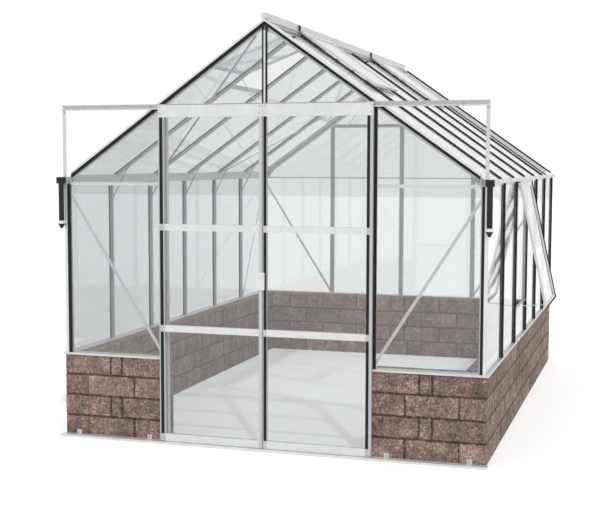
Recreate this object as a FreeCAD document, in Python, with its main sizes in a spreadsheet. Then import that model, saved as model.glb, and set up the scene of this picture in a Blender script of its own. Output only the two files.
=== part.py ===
import FreeCAD, Part
import math
import os
import re
import Sketcher

# Greenhouse on a block wall: +Z up, front facing -Y. The pieces are drawn about the middle of the plan;
# the finished nodes are set down with the origin on the ground under the middle of the door rail.

doc = FreeCAD.newDocument("greenhouse")
sheet = doc.addObject("Spreadsheet::Sheet", "sizes")

SIZES = {
    # block wall
    "wall_width": 3134,
    "block_length": 373.6,
    "block_depth": 186.8,
    "course_height": 154,
    "courses": 4,
    "block_count": 12,
    "block_edge": 7,
    "door_gap": 1530,
    "closer_length": 90,
    # ground rail and sills
    "rail_overhang": 8,
    "rail_depth": 62,
    "rail_height": 18,
    "groove_width": 10,
    "groove_depth": 10,
    "bracket_width": 35,
    "bracket_height": 30,
    "bracket_inset": 117,
    "plate_thick": 3,
    "sill_rise": 6,
    "sill_depth": 80,
    "sill_lip": 16,
    # frame
    "bays": 6,
    "bar_inset": 9.6,
    "gable_inset": 17.6,
    "glass_thick": 4,
    "pane_gap": 6,
    "edge_gap": 1,
    "fit_gap": 0.3,
    "corner_size": 22,
    "corner_proud": 16,
    "corner_leg": 30,
    "bar_flange": 30,
    "bar_wall": 4,
    "bar_stem": 16,
    "strip_width": 23,
    "strip_crown": 16,
    "strip_depth": 15,
    "seal_width": 20,
    "seal_depth": 12,
    # eaves
    "eave_height": 1870,
    "gutter_height": 46,
    "gutter_out": 39,
    "gutter_in": 55,
    "gutter_wall": 3,
    "gutter_lift": 17,
    "beam_drop": 11,
    # roof
    "roof_pitch": 35.2,
    "ridge_rise": 39,
    "ridge_half": 20,
    "ridge_bevel": 4,
    "wing_reach": 50,
    "wing_thick": 6,
    "ridge_web": 6,
    "keel_depth": 80,
    "strip_start": 42,
    "strip_short": 10,
    "end_strip": 15,
    "roof_glass_short": 16,
    "cap_width": 55,
    "rafter_edge": 14,
    "rafter_leg": 50,
    "glass_ledge": 22,
    # gable frames
    "post_width": 20,
    "post_depth": 40,
    "post_flange": 35,
    "post_seal": 18,
    "post_seal_inset": 15,
    "mullion_width": 12,
    "joint_drop": 11,
    "joint_height": 22,
    "header_depth": 30,
    "back_post_at": 760,
    "back_flange": 48,
    "back_joint": 12,
    "back_seal": 16,
    # door track
    "header_drop": 25.1,
    "track_rise": 10,
    "track_height": 36,
    "track_reach": 22,
    "track_lip": 6,
    "strut_width": 25,
    "strut_foot": 40,
    # doors
    "door_overlap": 18,
    "door_clear": 8.4,
    "door_thick": 27,
    "door_bottom": 20,
    "door_gap_half": 1,
    "cover_height": 39,
    "stile_outer": 42,
    "stile_meet": 27,
    "bottom_rail": 55,
    "top_rail": 48,
    "low_rail_at": 816,
    "high_rail_at": 1542,
    "mid_rail": 47,
    "fin_width": 6,
    "fin_depth": 9,
    "gasket_wide": 24,
    "gasket_slim": 20,
    "inset_left": 10,
    "inset_right": 21,
    "inset_meet": 7,
    "gasket_proud": 2,
    "pane_inset": 11,
    "handle_width": 27,
    "handle_height": 121,
    "handle_low": 1141,
    "handle_plate": 4,
    "handle_grip": 12,
    "grip_root": 16,
    "grip_crown": 8,
    # door rollers
    "roller_spread": 300,
    "roller_radius": 12,
    "roller_groove": 9,
    "roller_width": 10,
    "groove_mouth": 5,
    "axle_radius": 3,
    "axle_play": 0.05,
    "axle_end": 2,
    # braces
    "brace_width": 26,
    "brace_thick": 3,
    "brace_drop": 72,
    "brace_lift": 18,
    "roof_brace": 40,
    "knee_width": 14,
    "knee_drop": 133,
    "knee_reach": 146,
    "gusset_reach": 75,
    "gusset_drop": 50,
    # downpipes
    "pipe_out": 12,
    "pipe_clear": 3,
    "pipe_radius": 19.5,
    "pipe_wall": 2.5,
    "pipe_length": 293,
    "tab_out": 25,
    "tab_in": 12,
    "tab_root": 6,
    "cap_half": 28,
    "clip_height": 21,
    "clip_wall": 5,
    "nozzle_height": 36,
    "nozzle_radius": 25,
    "nozzle_tip": 7,
    "nozzle_mouth": 16.5,
    # hinged sashes and their stays
    "sash_thick": 18,
    "sash_rail": 30,
    "sash_web": 12,
    "bead_radius": 4,
    "vent_length": 700,
    "vent_axis_x": 34,
    "vent_lift": 9.5,
    "vent_angle": 14.5,
    "window_length": 1000,
    "window_clear": 13,
    "window_angle": 12.5,
    "stay_width": 14,
    "stay_thick": 4,
    "stay_drop": 13,
    "stay_bead": 3.2,
    "vent_stay_inset": 70,
    "vent_guide": 51.5,
    "vent_stay": 420,
    "lug_width": 24,
    "lug_reach": 10,
    "window_stay_inset": 15,
    "window_guide": 14,
    "window_stay": 320,
    "window_stay_at": 102,
    "edge_seal": 10,
    "transom_drop": 9,
    "transom_height": 26,
}

WALL_END = "(block_count * block_length / 2)"
WALL_SIDE = "(wall_width / 2)"
WALL_TOP = "(courses * course_height)"
SILL_TOP = "(courses * course_height + sill_rise)"
BAY = "((block_count * block_length - 2 * bar_inset) / bays)"
FIRST_BAR = f"(bar_inset - {WALL_END})"
GLASS_HALF = "(wall_width / 2 - strip_depth)"
GLASS_IN = "(wall_width / 2 - strip_depth - glass_thick)"
BAR_IN = f"({GLASS_IN} - bar_wall - bar_stem)"
GABLE_FACE = f"({WALL_END} - gable_inset)"
GABLE_IN = f"({GABLE_FACE} - glass_thick)"
FLANGE_IN = f"({GABLE_IN} - bar_wall)"
CORNER = f"({GABLE_FACE} + corner_proud)"
SEAL_FACE = f"({GABLE_FACE} + seal_depth)"
UPRIGHT = f"(eave_height - {SILL_TOP})"
GUTTER_IN = f"({GLASS_HALF} - gutter_in)"
GUTTER_OUT = f"({GLASS_HALF} + gutter_out)"
ROOF_APEX = f"(eave_height + gutter_height + {GLASS_HALF} * tan(roof_pitch))"
ROOF_IN = "(strip_depth + glass_thick)"
RAFTER_END = f"({GUTTER_IN} - fit_gap)"
POST_FACE = "(door_gap / 2 - post_width)"
DOOR_WIDTH = "(door_gap / 2 + door_overlap)"
DOOR_BACK = f"({WALL_END} + door_clear)"
DOOR_FRONT = f"({DOOR_BACK} + door_thick)"

for row, (alias, number) in enumerate(SIZES.items(), start=1):
    sheet.set("A%d" % row, alias)
    sheet.set("B%d" % row, str(number))
    sheet.setAlias("B%d" % row, alias)
doc.recompute()


def ex(text):
    """Turn a formula in size names into an expression on the sheet."""
    return re.sub(r"[a-z]\w*", lambda m: "sizes." + m.group() if m.group() in SIZES else m.group(), str(text))


def bind(item, prop, text):
    item.setExpression(prop, ex(text))


def datum(body, role):
    return [feature for feature in body.Origin.OriginFeatures if feature.Role == role][0]


def outline(body, plane, loops, start="0"):
    """Sketch closed outlines of straight lines; every corner is held by two bound distances."""
    sketch = body.newObject("Sketcher::SketchObject", body.Name + "_outline")
    sketch.AttachmentSupport = [(datum(body, plane), "")]
    sketch.MapMode = "FlatFace"
    bind(sketch, "AttachmentOffset.Base.z", f"-({start})" if plane == "XZ_Plane" else start)
    for loop in loops:
        first = sketch.GeometryCount
        count = len(loop)
        turn = 2 * math.pi / count
        ring = [FreeCAD.Vector(math.cos(turn * k), math.sin(turn * k), 0) for k in range(count)]
        sketch.addGeometry([Part.LineSegment(ring[k], ring[(k + 1) % count]) for k in range(count)])
        for k, corner in enumerate(loop):
            sketch.addConstraint(Sketcher.Constraint("Coincident", first + k, 2, first + (k + 1) % count, 1))
            for kind, place, text in zip(("DistanceX", "DistanceY"), ring[k], corner):
                index = sketch.addConstraint(Sketcher.Constraint(kind, -1, 1, first + k, 1, place))
                bind(sketch, "Constraints[%d]" % index, text)
    return sketch


def new_body(label):
    body = doc.addObject("PartDesign::Body", label)
    body.Label = label
    body.AllowCompound = True
    return body


def pad(body, plane, loops, start, length):
    """Extrude outlines from a start along the positive axis across the plane."""
    feature = body.newObject("PartDesign::Pad", body.Name + "_pad")
    feature.Profile = outline(body, plane, loops, start)
    feature.Reversed = plane == "XZ_Plane"
    bind(feature, "Length", length)
    return feature


def padded(label, plane, loops, start, length):
    body = new_body(label)
    pad(body, plane, loops, start, length)
    return body


def spread(body, feature, axis, length, count):
    """Repeat a feature in a row along one axis."""
    row = body.newObject("PartDesign::LinearPattern", body.Name + "_row")
    row.Originals = [feature]
    row.Direction = (datum(body, axis), [""])
    bind(row, "Length", length)
    bind(row, "Occurrences", count)
    body.Tip = row


def place(body, x="0", y="0", z="0", angle=None):
    """Set a body in place, turned about the Y axis where an angle is given."""
    if angle is not None:
        body.Placement = FreeCAD.Placement(FreeCAD.Vector(), FreeCAD.Rotation(FreeCAD.Vector(0, 1, 0), 1))
        bind(body, "Placement.Rotation.Angle", angle)
    for axis, text in zip("xyz", (x, y, z)):
        bind(body, "Placement.Base." + axis, text)


def mirrored(label, source, normal):
    copy = doc.addObject("Part::Mirroring", label)
    copy.Label = label
    copy.Source = source
    copy.Normal = FreeCAD.Vector(*normal)
    return copy


def group(label, items):
    bundle = doc.addObject("Part::Compound", label)
    bundle.Label = label
    bundle.Links = items
    return bundle


def pair(label, body):
    """A piece and its mirror image on the other side of the house."""
    return group(label, [body, mirrored(body.Name + "_other", body, (1, 0, 0))])


def four(label, body):
    """A piece in all four corners of the house."""
    side = pair(body.Name + "_pair", body)
    return group(label, [side, mirrored(side.Name + "_rear", side, (0, 1, 0))])


def box(x0, x1, y0, y1):
    return [(x0, y0), (x1, y0), (x1, y1), (x0, y1)]


def trapezoid(base, crown, low, high, along_x):
    points = [(f"-{base}/2", low), (f"{base}/2", low), (f"{crown}/2", high), (f"-{crown}/2", high)]
    return points if along_x else [(across, along) for along, across in points]


def roof_z(x, n):
    """Height at x of a line parallel to the right roof slope, n outside the strip tops."""
    return f"({ROOF_APEX} - ({x}) * tan(roof_pitch) + ({n}) / cos(roof_pitch))"


def slope_at(x, n):
    """Distance down the slope of the point at x on that line."""
    return f"((({x}) - ({n}) * sin(roof_pitch)) / cos(roof_pitch))"


def common(label, body, room):
    part = doc.addObject("Part::Common", label)
    part.Label = label
    part.Base = body
    part.Tool = room
    return part


def clipped(label, body, reach):
    """Cut a sloping piece upright at the ridge plane and at a given half width."""
    room = doc.addObject("Part::Box", label + "_room")
    bind(room, "Length", reach)
    bind(room, "Width", f"2 * ({WALL_END} + rail_depth)")
    bind(room, "Height", f"2 * {ROOF_APEX}")
    bind(room, "Placement.Base.y", f"-({WALL_END} + rail_depth)")
    return common(label, body, room)


def on_slope(body):
    place(body, z=ROOF_APEX, angle="roof_pitch")


NODES = []


def keep(item):
    """Make a finished piece a node with the same label, moved back from the door rail."""
    label = item.Label
    item.Label = label + "_piece"
    node = doc.addObject("Part::Compound", label + "_node")
    node.Label = label
    node.Links = [item]
    bind(node, "Placement.Base.y", f"{WALL_END} + rail_depth / 2")
    NODES.append(node)
    return item


# Block wall, dry laid in half bond with eased edges

def block(name, length):
    body = new_body(name)
    core = pad(body, "XY_Plane", [box("0", length, "0", "block_depth")], "0", "course_height")
    doc.recompute()
    edge = body.newObject("PartDesign::Chamfer", name + "_edge")
    edge.Base = (core, ["Edge%d" % (k + 1) for k in range(len(core.Shape.Edges))])
    bind(edge, "Size", "block_edge")
    return body


def laid(master, x, y, course, turned=False):
    """Lay a copy of a block in a course, along X or turned to run along Y."""
    copy = doc.addObject("App::Link", master.Name + "_laid")
    copy.LinkedObject = master
    if turned:
        copy.Placement = FreeCAD.Placement(FreeCAD.Vector(), FreeCAD.Rotation(FreeCAD.Vector(0, 0, 1), 90))
    bind(copy, "Placement.Base.x", x)
    bind(copy, "Placement.Base.y", y)
    bind(copy, "Placement.Base.z", f"{course} * course_height")
    return copy


BACK_RUN = 4
SIDE_LENGTH = "((block_count * block_length - 2 * block_depth) / (block_count - 1))"
REST_A = "(wall_width / 2 - door_gap / 2 - block_length - closer_length)"
REST_B = "(wall_width / 2 - door_gap / 2 - block_length - block_depth)"
BACK_A = f"(wall_width - {2 * BACK_RUN} * block_length)"
BACK_B = f"(wall_width - 2 * block_depth - {2 * BACK_RUN - 1} * block_length)"
full = block("block_full", "block_length")
side = block("block_side", SIDE_LENGTH)
closer = block("block_closer", "closer_length")
rest_a = block("block_rest_a", REST_A)
rest_b = block("block_rest_b", REST_B)
back_a = block("block_back_a", BACK_A)
back_b = block("block_back_b", BACK_B)

front_blocks = []
back_blocks = []
side_blocks = []
for course in range(SIZES["courses"]):
    top_like = (SIZES["courses"] - course) % 2 == 1
    front_y = f"-{WALL_END}"
    back_y = f"{WALL_END} - block_depth"
    if top_like:
        start = f"-{WALL_SIDE}"
        front_blocks.append(laid(full, start, front_y, course))
        front_blocks.append(laid(closer, f"{start} + block_length", front_y, course))
        front_blocks.append(laid(rest_a, f"{start} + block_length + closer_length", front_y, course))
        master, run, middle, gap, after = side, SIZES["block_count"] - 1, back_a, BACK_A, BACK_RUN
        side_y, pitch = f"block_depth - {WALL_END}", SIDE_LENGTH
    else:
        start = f"block_depth - {WALL_SIDE}"
        front_blocks.append(laid(full, start, front_y, course))
        front_blocks.append(laid(rest_b, f"{start} + block_length", front_y, course))
        master, run, middle, gap, after = full, SIZES["block_count"], back_b, BACK_B, BACK_RUN - 1
        side_y, pitch = f"-{WALL_END}", "block_length"
    for k in range(run):
        side_blocks.append(laid(master, WALL_SIDE, f"{side_y} + {k} * {pitch}", course, True))
    for k in range(BACK_RUN):
        back_blocks.append(laid(full, f"{start} + {k} * block_length", back_y, course))
    back_blocks.append(laid(middle, f"{start} + {BACK_RUN} * block_length", back_y, course))
    for k in range(after):
        back_blocks.append(laid(full, f"{start} + {gap} + {BACK_RUN + k} * block_length", back_y, course))

keep(pair("wall_front", group("front_half", front_blocks)))
keep(pair("wall_sides", group("wall_right", side_blocks)))
keep(group("wall_back", back_blocks))

# Ground rail with a guide groove, and the brackets that tie it to the wall

GROOVE = f"({DOOR_BACK} + door_thick / 2)"
rail = [
    (f"-{WALL_END} - rail_depth", "0"),
    (f"-{WALL_END}", "0"),
    (f"-{WALL_END}", "rail_height"),
    (f"-{GROOVE} + groove_width / 2", "rail_height"),
    (f"-{GROOVE} + groove_width / 2", "rail_height - groove_depth"),
    (f"-{GROOVE} - groove_width / 2", "rail_height - groove_depth"),
    (f"-{GROOVE} - groove_width / 2", "rail_height"),
    (f"-{WALL_END} - rail_depth", "rail_height"),
]
RAIL_HALF = "(wall_width / 2 + rail_overhang)"
keep(padded("ground_rail", "YZ_Plane", [rail], f"-{RAIL_HALF}", f"2 * {RAIL_HALF}"))

bracket_loops = []
for centre in (f"({WALL_SIDE} - bracket_inset)", "(door_gap / 2 + bracket_inset)"):
    for sign in ("", "-"):
        low = f"{sign}{centre} - bracket_width / 2"
        high = f"{sign}{centre} + bracket_width / 2"
        bracket_loops.append(box(low, high, "rail_height", "rail_height + bracket_height"))
keep(padded("rail_brackets", "XZ_Plane", bracket_loops, f"-{WALL_END} - plate_thick", "plate_thick"))

# Sill profiles with a drip lip over the wall's edge

def sill_lip(face):
    return box(face, f"{face} + plate_thick", f"{SILL_TOP} - sill_lip", SILL_TOP)


side_sill = [
    (f"{WALL_SIDE} - sill_depth", WALL_TOP),
    (WALL_SIDE, WALL_TOP),
    (WALL_SIDE, f"{SILL_TOP} - sill_lip"),
    (f"{WALL_SIDE} + plate_thick", f"{SILL_TOP} - sill_lip"),
    (f"{WALL_SIDE} + plate_thick", SILL_TOP),
    (f"{WALL_SIDE} - sill_depth", SILL_TOP),
]
sill_right = padded("sill_right", "XZ_Plane", [side_sill], f"-{WALL_END}", f"2 * {WALL_END}")


def end_sill(name, inner):
    """Sill across a gable from an inner end to the corner, its lip passing the side sill."""
    body = padded(name, "YZ_Plane", [box(f"{WALL_END} - sill_depth", WALL_END, WALL_TOP, SILL_TOP)],
                  inner, f"{WALL_SIDE} - sill_depth - {inner}")
    pad(body, "YZ_Plane", [sill_lip(WALL_END)], inner, f"{WALL_SIDE} + plate_thick - {inner}")
    return body


front_sill = mirrored("sill_front", end_sill("sill_front_rear", "door_gap / 2"), (0, 1, 0))
back_sill = end_sill("sill_back", "0")
keep(pair("sills", group("sills_right", [sill_right, front_sill, back_sill])))

# Corner posts, side glazing bars, side panes and their black strips

GLASS_SEAT = "(corner_proud + glass_thick)"
corner_shape = [
    ("0", "0"),
    ("corner_size", "0"),
    ("corner_size", GLASS_SEAT),
    ("(corner_size + corner_leg)", GLASS_SEAT),
    ("(corner_size + corner_leg)", f"{GLASS_SEAT} + bar_wall"),
    ("(glass_thick + bar_wall)", f"{GLASS_SEAT} + bar_wall"),
    ("(glass_thick + bar_wall)", "corner_size + corner_leg"),
    ("glass_thick", "corner_size + corner_leg"),
    ("glass_thick", "corner_size"),
    ("0", "corner_size"),
]
corner_loop = [(f"{GLASS_HALF} - {u}", f"{v} - {CORNER}") for u, v in corner_shape]
keep(four("corner_posts", padded("corner_post", "XY_Plane", [corner_loop], SILL_TOP, UPRIGHT)))


def tee(face, deeper):
    """T-shaped glazing bar: flange under the glass, stem running inwards; as (depth, across)."""
    return [
        (face, "-bar_flange / 2"),
        (face, "bar_flange / 2"),
        (f"{face} - bar_wall", "bar_flange / 2"),
        (f"{face} - bar_wall", "bar_wall / 2"),
        (f"{face} - bar_wall - {deeper}", "bar_wall / 2"),
        (f"{face} - bar_wall - {deeper}", "-bar_wall / 2"),
        (f"{face} - bar_wall", "-bar_wall / 2"),
        (f"{face} - bar_wall", "-bar_flange / 2"),
    ]


def row_of(name, plane, loop, start, length, first, count):
    """A profile repeated from bar to bar along the house, beginning at a given bar."""
    body = new_body(name)
    spread(body, pad(body, plane, [loop], start, length), "Y_Axis", f"{BAY} * ({count} - 1)", count)
    place(body, y=f"{FIRST_BAR} + {first} * {BAY}")
    return body


INNER_BARS = "(bays - 1)"
side_tee = tee(GLASS_IN, "bar_stem")
bars_right = row_of("side_bars_right", "XY_Plane", side_tee, SILL_TOP, UPRIGHT, 1, INNER_BARS)
keep(pair("side_bars", bars_right))
strip_loop = trapezoid("strip_width", "strip_crown", GLASS_HALF, WALL_SIDE, False)
strips_right = row_of("side_strips_right", "XY_Plane", strip_loop, SILL_TOP,
                      f"({UPRIGHT} + gutter_lift)", 1, "bays")
keep(pair("side_strips", strips_right))

WINDOW_BAY = 2
WINDOW_AXIS_Z = "(eave_height + gutter_lift - fit_gap - bead_radius)"
WINDOW_PIVOT = "(window_length - window_stay_inset)"
WINDOW_GUIDE_Z = f"({WINDOW_AXIS_Z} - sqrt({WINDOW_PIVOT} ^ 2 + stay_drop ^ 2 - window_guide ^ 2))"
TRANSOM_TOP = f"({WINDOW_GUIDE_Z} - transom_drop)"


def bay_edges(index, end_inset):
    """Both edges of a pane in one bay; the end bays stop at the gable frames."""
    low = f"{FIRST_BAR} + {index} * {BAY} + pane_gap / 2"
    high = f"{FIRST_BAR} + {index + 1} * {BAY} - pane_gap / 2"
    if index == 0:
        low = f"{end_inset} - {CORNER}"
    if index == SIZES["bays"] - 1:
        high = f"{CORNER} - {end_inset}"
    return low, high


def side_panes(name, window_bay):
    loops = []
    for index in range(SIZES["bays"]):
        top = f"{TRANSOM_TOP} - bar_wall - edge_gap" if index == window_bay else "eave_height"
        loops.append(box(*bay_edges(index, "(corner_size + edge_gap)"), SILL_TOP, top))
    return padded(name, "YZ_Plane", loops, GLASS_IN, "glass_thick")


panes_left = mirrored("panes_left", side_panes("panes_left_source", None), (1, 0, 0))
keep(group("glass_sides", [side_panes("panes_right", WINDOW_BAY), panes_left]))

# Gutters with their inner beam, ridge beam, gable rafters and roof bars

GUTTER_FLOOR = "eave_height + gutter_wall"
TROUGH_LOW = "(eave_height + gutter_lift)"
gutter_loop = [
    (GUTTER_OUT, "eave_height + gutter_height"),
    (GUTTER_OUT, TROUGH_LOW),
    (GLASS_HALF, TROUGH_LOW),
    (GLASS_HALF, "eave_height"),
    (f"{GUTTER_IN} + gutter_wall", "eave_height"),
    (f"{GUTTER_IN} + gutter_wall", "eave_height - beam_drop"),
    (GUTTER_IN, "eave_height - beam_drop"),
    (GUTTER_IN, roof_z(GUTTER_IN, f"-{ROOF_IN}")),
    (f"{GUTTER_IN} + gutter_wall", roof_z(f"{GUTTER_IN} + gutter_wall", f"-{ROOF_IN}")),
    (f"{GUTTER_IN} + gutter_wall", GUTTER_FLOOR),
    (f"{GLASS_HALF} - gutter_wall", GUTTER_FLOOR),
    (f"{GLASS_HALF} - gutter_wall", f"{TROUGH_LOW} + gutter_wall"),
    (f"{GUTTER_OUT} - gutter_wall", f"{TROUGH_LOW} + gutter_wall"),
    (f"{GUTTER_OUT} - gutter_wall", "eave_height + gutter_height"),
]
keep(pair("gutters", padded("gutter_right", "XZ_Plane", [gutter_loop], f"-{SEAL_FACE}", f"2 * {SEAL_FACE}")))

RIDGE_TOP = f"({ROOF_APEX} + ridge_rise)"
VENT_AXIS_Z = roof_z("vent_axis_x", "vent_lift")
HINGE_LIP = f"({VENT_AXIS_Z} - bead_radius - fit_gap)"
ridge_right = [
    ("ridge_half - ridge_bevel", RIDGE_TOP),
    ("ridge_half", f"{RIDGE_TOP} - ridge_bevel"),
    ("ridge_half", HINGE_LIP),
    ("vent_axis_x", HINGE_LIP),
    ("vent_axis_x", f"{HINGE_LIP} - plate_thick"),
    ("ridge_half", f"{HINGE_LIP} - plate_thick"),
    ("ridge_half", roof_z("ridge_half", f"-{ROOF_IN}")),
    ("wing_reach", roof_z("wing_reach", f"-{ROOF_IN}")),
    ("wing_reach", roof_z("wing_reach", f"-{ROOF_IN} - wing_thick")),
    ("ridge_web", roof_z("ridge_web", f"-{ROOF_IN} - wing_thick")),
    ("ridge_web", f"{ROOF_APEX} - keel_depth"),
]
ridge_loop = ridge_right + [(f"-({x})", z) for x, z in reversed(ridge_right)]
LEG_BACK = f"({GLASS_SEAT} + bar_wall)"
RIDGE_END = f"({CORNER} - {LEG_BACK})"
ridge_nose = ridge_right[:2] + [("ridge_half", f"{ROOF_APEX} + edge_gap")]
nose_loop = ridge_nose + [(f"-({x})", z) for x, z in reversed(ridge_nose)]
ridge = keep(padded("ridge_beam", "XZ_Plane", [ridge_loop], f"-{RIDGE_END}", f"2 * {RIDGE_END}"))
pad(ridge, "XZ_Plane", [nose_loop], f"-{SEAL_FACE}", f"2 * {SEAL_FACE}")
rafter_shape = [
    ("0", "0"),
    ("cap_width", "0"),
    ("cap_width", "-strip_depth"),
    ("cap_width - bar_wall", "-strip_depth"),
    ("cap_width - bar_wall", "-bar_wall"),
    (LEG_BACK, "-bar_wall"),
    (LEG_BACK, f"-{ROOF_IN}"),
    (f"{LEG_BACK} + glass_ledge", f"-{ROOF_IN}"),
    (f"{LEG_BACK} + glass_ledge", f"-{ROOF_IN} - bar_wall"),
    (LEG_BACK, f"-{ROOF_IN} - bar_wall"),
    (LEG_BACK, "-rafter_leg"),
    (GLASS_SEAT, "-rafter_leg"),
    (GLASS_SEAT, "-rafter_edge"),
    ("0", "-rafter_edge"),
]
rafter_loop = [(f"{w} - {CORNER}", n) for w, n in rafter_shape]
RAFTER_RUN = f"({slope_at(RAFTER_END, '-rafter_leg')} + 2 * rafter_leg)"
rafter = padded("rafter_bar", "YZ_Plane", [rafter_loop], "-rafter_leg", RAFTER_RUN)
on_slope(rafter)
ridge_room = doc.addObject("Part::Box", "ridge_room")
bind(ridge_room, "Length", "wing_reach + fit_gap")
bind(ridge_room, "Width", "cap_width")
bind(ridge_room, "Height", RIDGE_TOP)
bind(ridge_room, "Placement.Base.y", f"-{RIDGE_END}")
rafter_cut = doc.addObject("Part::Cut", "rafter_cut")
rafter_cut.Base = clipped("rafter", rafter, RAFTER_END)
rafter_cut.Tool = ridge_room
keep(four("gable_rafters", rafter_cut))

bar_loop = [(across, depth) for depth, across in tee(f"-{ROOF_IN}", "bar_stem")]
BAR_START = slope_at("wing_reach + fit_gap", f"-{ROOF_IN} - wing_thick")
BAR_STOP = slope_at(RAFTER_END, f"-{ROOF_IN}")


def slope_row(name, loop, start, stop):
    """A profile run down the slope on every inner bar line."""
    body = row_of(name, "YZ_Plane", loop, start, f"{stop} - {start}", 1, INNER_BARS)
    place(body, y=f"{FIRST_BAR} + {BAY}", z=ROOF_APEX, angle="roof_pitch")
    return body


keep(pair("roof_bars", slope_row("roof_bars_right", bar_loop, BAR_START, BAR_STOP)))
roof_strip = trapezoid("strip_width", "strip_crown", "-strip_depth", "0", True)
STRIP_STOP = slope_at(f"{GLASS_HALF} - strip_short", "0")
STRIP_FROM = slope_at("strip_start", "0")
end_strip = padded("end_strip", "YZ_Plane", [trapezoid("strip_width", "strip_crown", "0", "end_strip", True)],
                   STRIP_FROM, f"{STRIP_STOP} - {STRIP_FROM}")
place(end_strip, y=f"{CORNER} - strip_width / 2", z=ROOF_APEX, angle="roof_pitch")
inner_strips = slope_row("inner_strips", roof_strip, STRIP_FROM, STRIP_STOP)
keep(pair("roof_strips", group("strips_right", [inner_strips, end_strip])))

# Roof panes, left out under the vents, and the trimmers below the vent openings

RIGHT_VENTS = (1, 4)
LEFT_VENTS = (1,)
VENT_AXIS_S = slope_at("vent_axis_x", "vent_lift")
VENT_PIVOT = "(vent_length - vent_stay_inset)"
TRIMMER_S = f"({VENT_AXIS_S} + {VENT_PIVOT} + stay_thick / 2 + 2 * edge_gap)"
PANE_TOP = f"({slope_at('ridge_half', f'-{ROOF_IN}')} + edge_gap)"
PANE_END = slope_at(f"{GLASS_HALF} - roof_glass_short", "-strip_depth")


def roof_panes(name, vents):
    loops = []
    for index in range(SIZES["bays"]):
        top = f"{TRIMMER_S} + bar_wall + edge_gap" if index in vents else PANE_TOP
        low, high = bay_edges(index, f"({LEG_BACK} + edge_gap)")
        loops.append(box(top, PANE_END, low, high))
    body = padded(name, "XY_Plane", loops, f"-{ROOF_IN}", "glass_thick")
    on_slope(body)
    return body


roof_left = mirrored("roof_panes_left", roof_panes("roof_left_source", LEFT_VENTS), (1, 0, 0))
keep(group("glass_roof", [roof_panes("roof_panes_right", RIGHT_VENTS), roof_left]))

trimmer_loop = [
    (TRIMMER_S, "vent_lift - vent_guide"),
    (f"{TRIMMER_S} + bar_wall", "vent_lift - vent_guide"),
    (f"{TRIMMER_S} + bar_wall", f"-{ROOF_IN} - bar_wall"),
    (f"{TRIMMER_S} + glass_ledge", f"-{ROOF_IN} - bar_wall"),
    (f"{TRIMMER_S} + glass_ledge", f"-{ROOF_IN}"),
    (f"{TRIMMER_S} + bar_wall", f"-{ROOF_IN}"),
    (f"{TRIMMER_S} + bar_wall", "0"),
    (TRIMMER_S, "0"),
]


def trimmer(name, index):
    start = f"{FIRST_BAR} + {index} * {BAY} + bar_flange / 2"
    body = padded(name, "XZ_Plane", [trimmer_loop], start, f"{BAY} - bar_flange")
    on_slope(body)
    return body


transom_loop = [
    (f"{GLASS_IN} - bar_wall", f"{TRANSOM_TOP} - transom_height"),
    (GLASS_IN, f"{TRANSOM_TOP} - transom_height"),
    (GLASS_IN, f"{TRANSOM_TOP} - bar_wall"),
    (f"{WALL_SIDE} - edge_gap", f"{TRANSOM_TOP} - bar_wall"),
    (f"{WALL_SIDE} - edge_gap", TRANSOM_TOP),
    (f"{GLASS_IN} - bar_wall", TRANSOM_TOP),
]
trimmers = [trimmer("trimmer_right_%d" % index, index) for index in RIGHT_VENTS]
trimmers += [mirrored("trimmer_left_%d" % index, trimmer("trimmer_left_source_%d" % index, index), (1, 0, 0))
             for index in LEFT_VENTS]
window_transom = padded("window_transom", "XZ_Plane", [transom_loop],
                        f"{FIRST_BAR} + {WINDOW_BAY} * {BAY} + bar_flange / 2", f"{BAY} - bar_flange")
keep(group("opening_trimmers", trimmers + [window_transom]))

# Front gable: door posts, header, mullion, panes and joint strips

LEG_LINE = "(-rafter_leg - fit_gap)"
SEAL_LINE = "(-rafter_edge - seal_width - fit_gap)"
GLASS_LINE = "(-rafter_edge - edge_gap)"
TRACK_LOW = f"({roof_z(POST_FACE, '-rafter_leg')} - header_drop)"
TRACK_TOP = f"({TRACK_LOW} + track_height)"


def under_roof(x0, x1, low, line):
    """Upright strip from a level up to a line below the roof slope."""
    return [(x0, low), (x1, low), (x1, roof_z(x1, line)), (x0, roof_z(x0, line))]


def under_ridge(half, low, line):
    """Upright strip in the middle of a gable, pointed under the ridge."""
    return [(f"-{half}", low), (half, low), (half, roof_z(half, line)), ("0", roof_z("0", line)),
            (f"-{half}", roof_z(half, line))]


rafter_room = padded("rafter_room", "XZ_Plane", [under_ridge(RAFTER_END, "0", LEG_LINE)],
                     f"-{WALL_END}", f"2 * {WALL_END}")


post = padded("door_post", "XZ_Plane", [under_roof(POST_FACE, "door_gap / 2", "0", LEG_LINE)],
              f"-{GABLE_IN}", "post_depth")
pad(post, "XZ_Plane", [under_roof("door_gap / 2", "(door_gap / 2 + post_flange)", SILL_TOP, LEG_LINE)],
    f"-{GABLE_IN}", "bar_wall")
keep(pair("door_posts", post))
header_bar = padded("header_bar", "XZ_Plane", [box(f"-{POST_FACE}", POST_FACE, TRACK_LOW, TRACK_TOP)],
                    f"-{CORNER}", f"header_depth + {CORNER} - {SEAL_FACE}")
keep(common("door_header", header_bar, rafter_room))
MULLION_TOP = f"({ROOF_APEX} - keel_depth - fit_gap)"
mullion_loop = box("-mullion_width / 2", "mullion_width / 2", TRACK_TOP, MULLION_TOP)
keep(padded("front_mullion", "XZ_Plane", [mullion_loop], f"-{SEAL_FACE}", "post_depth"))

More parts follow.
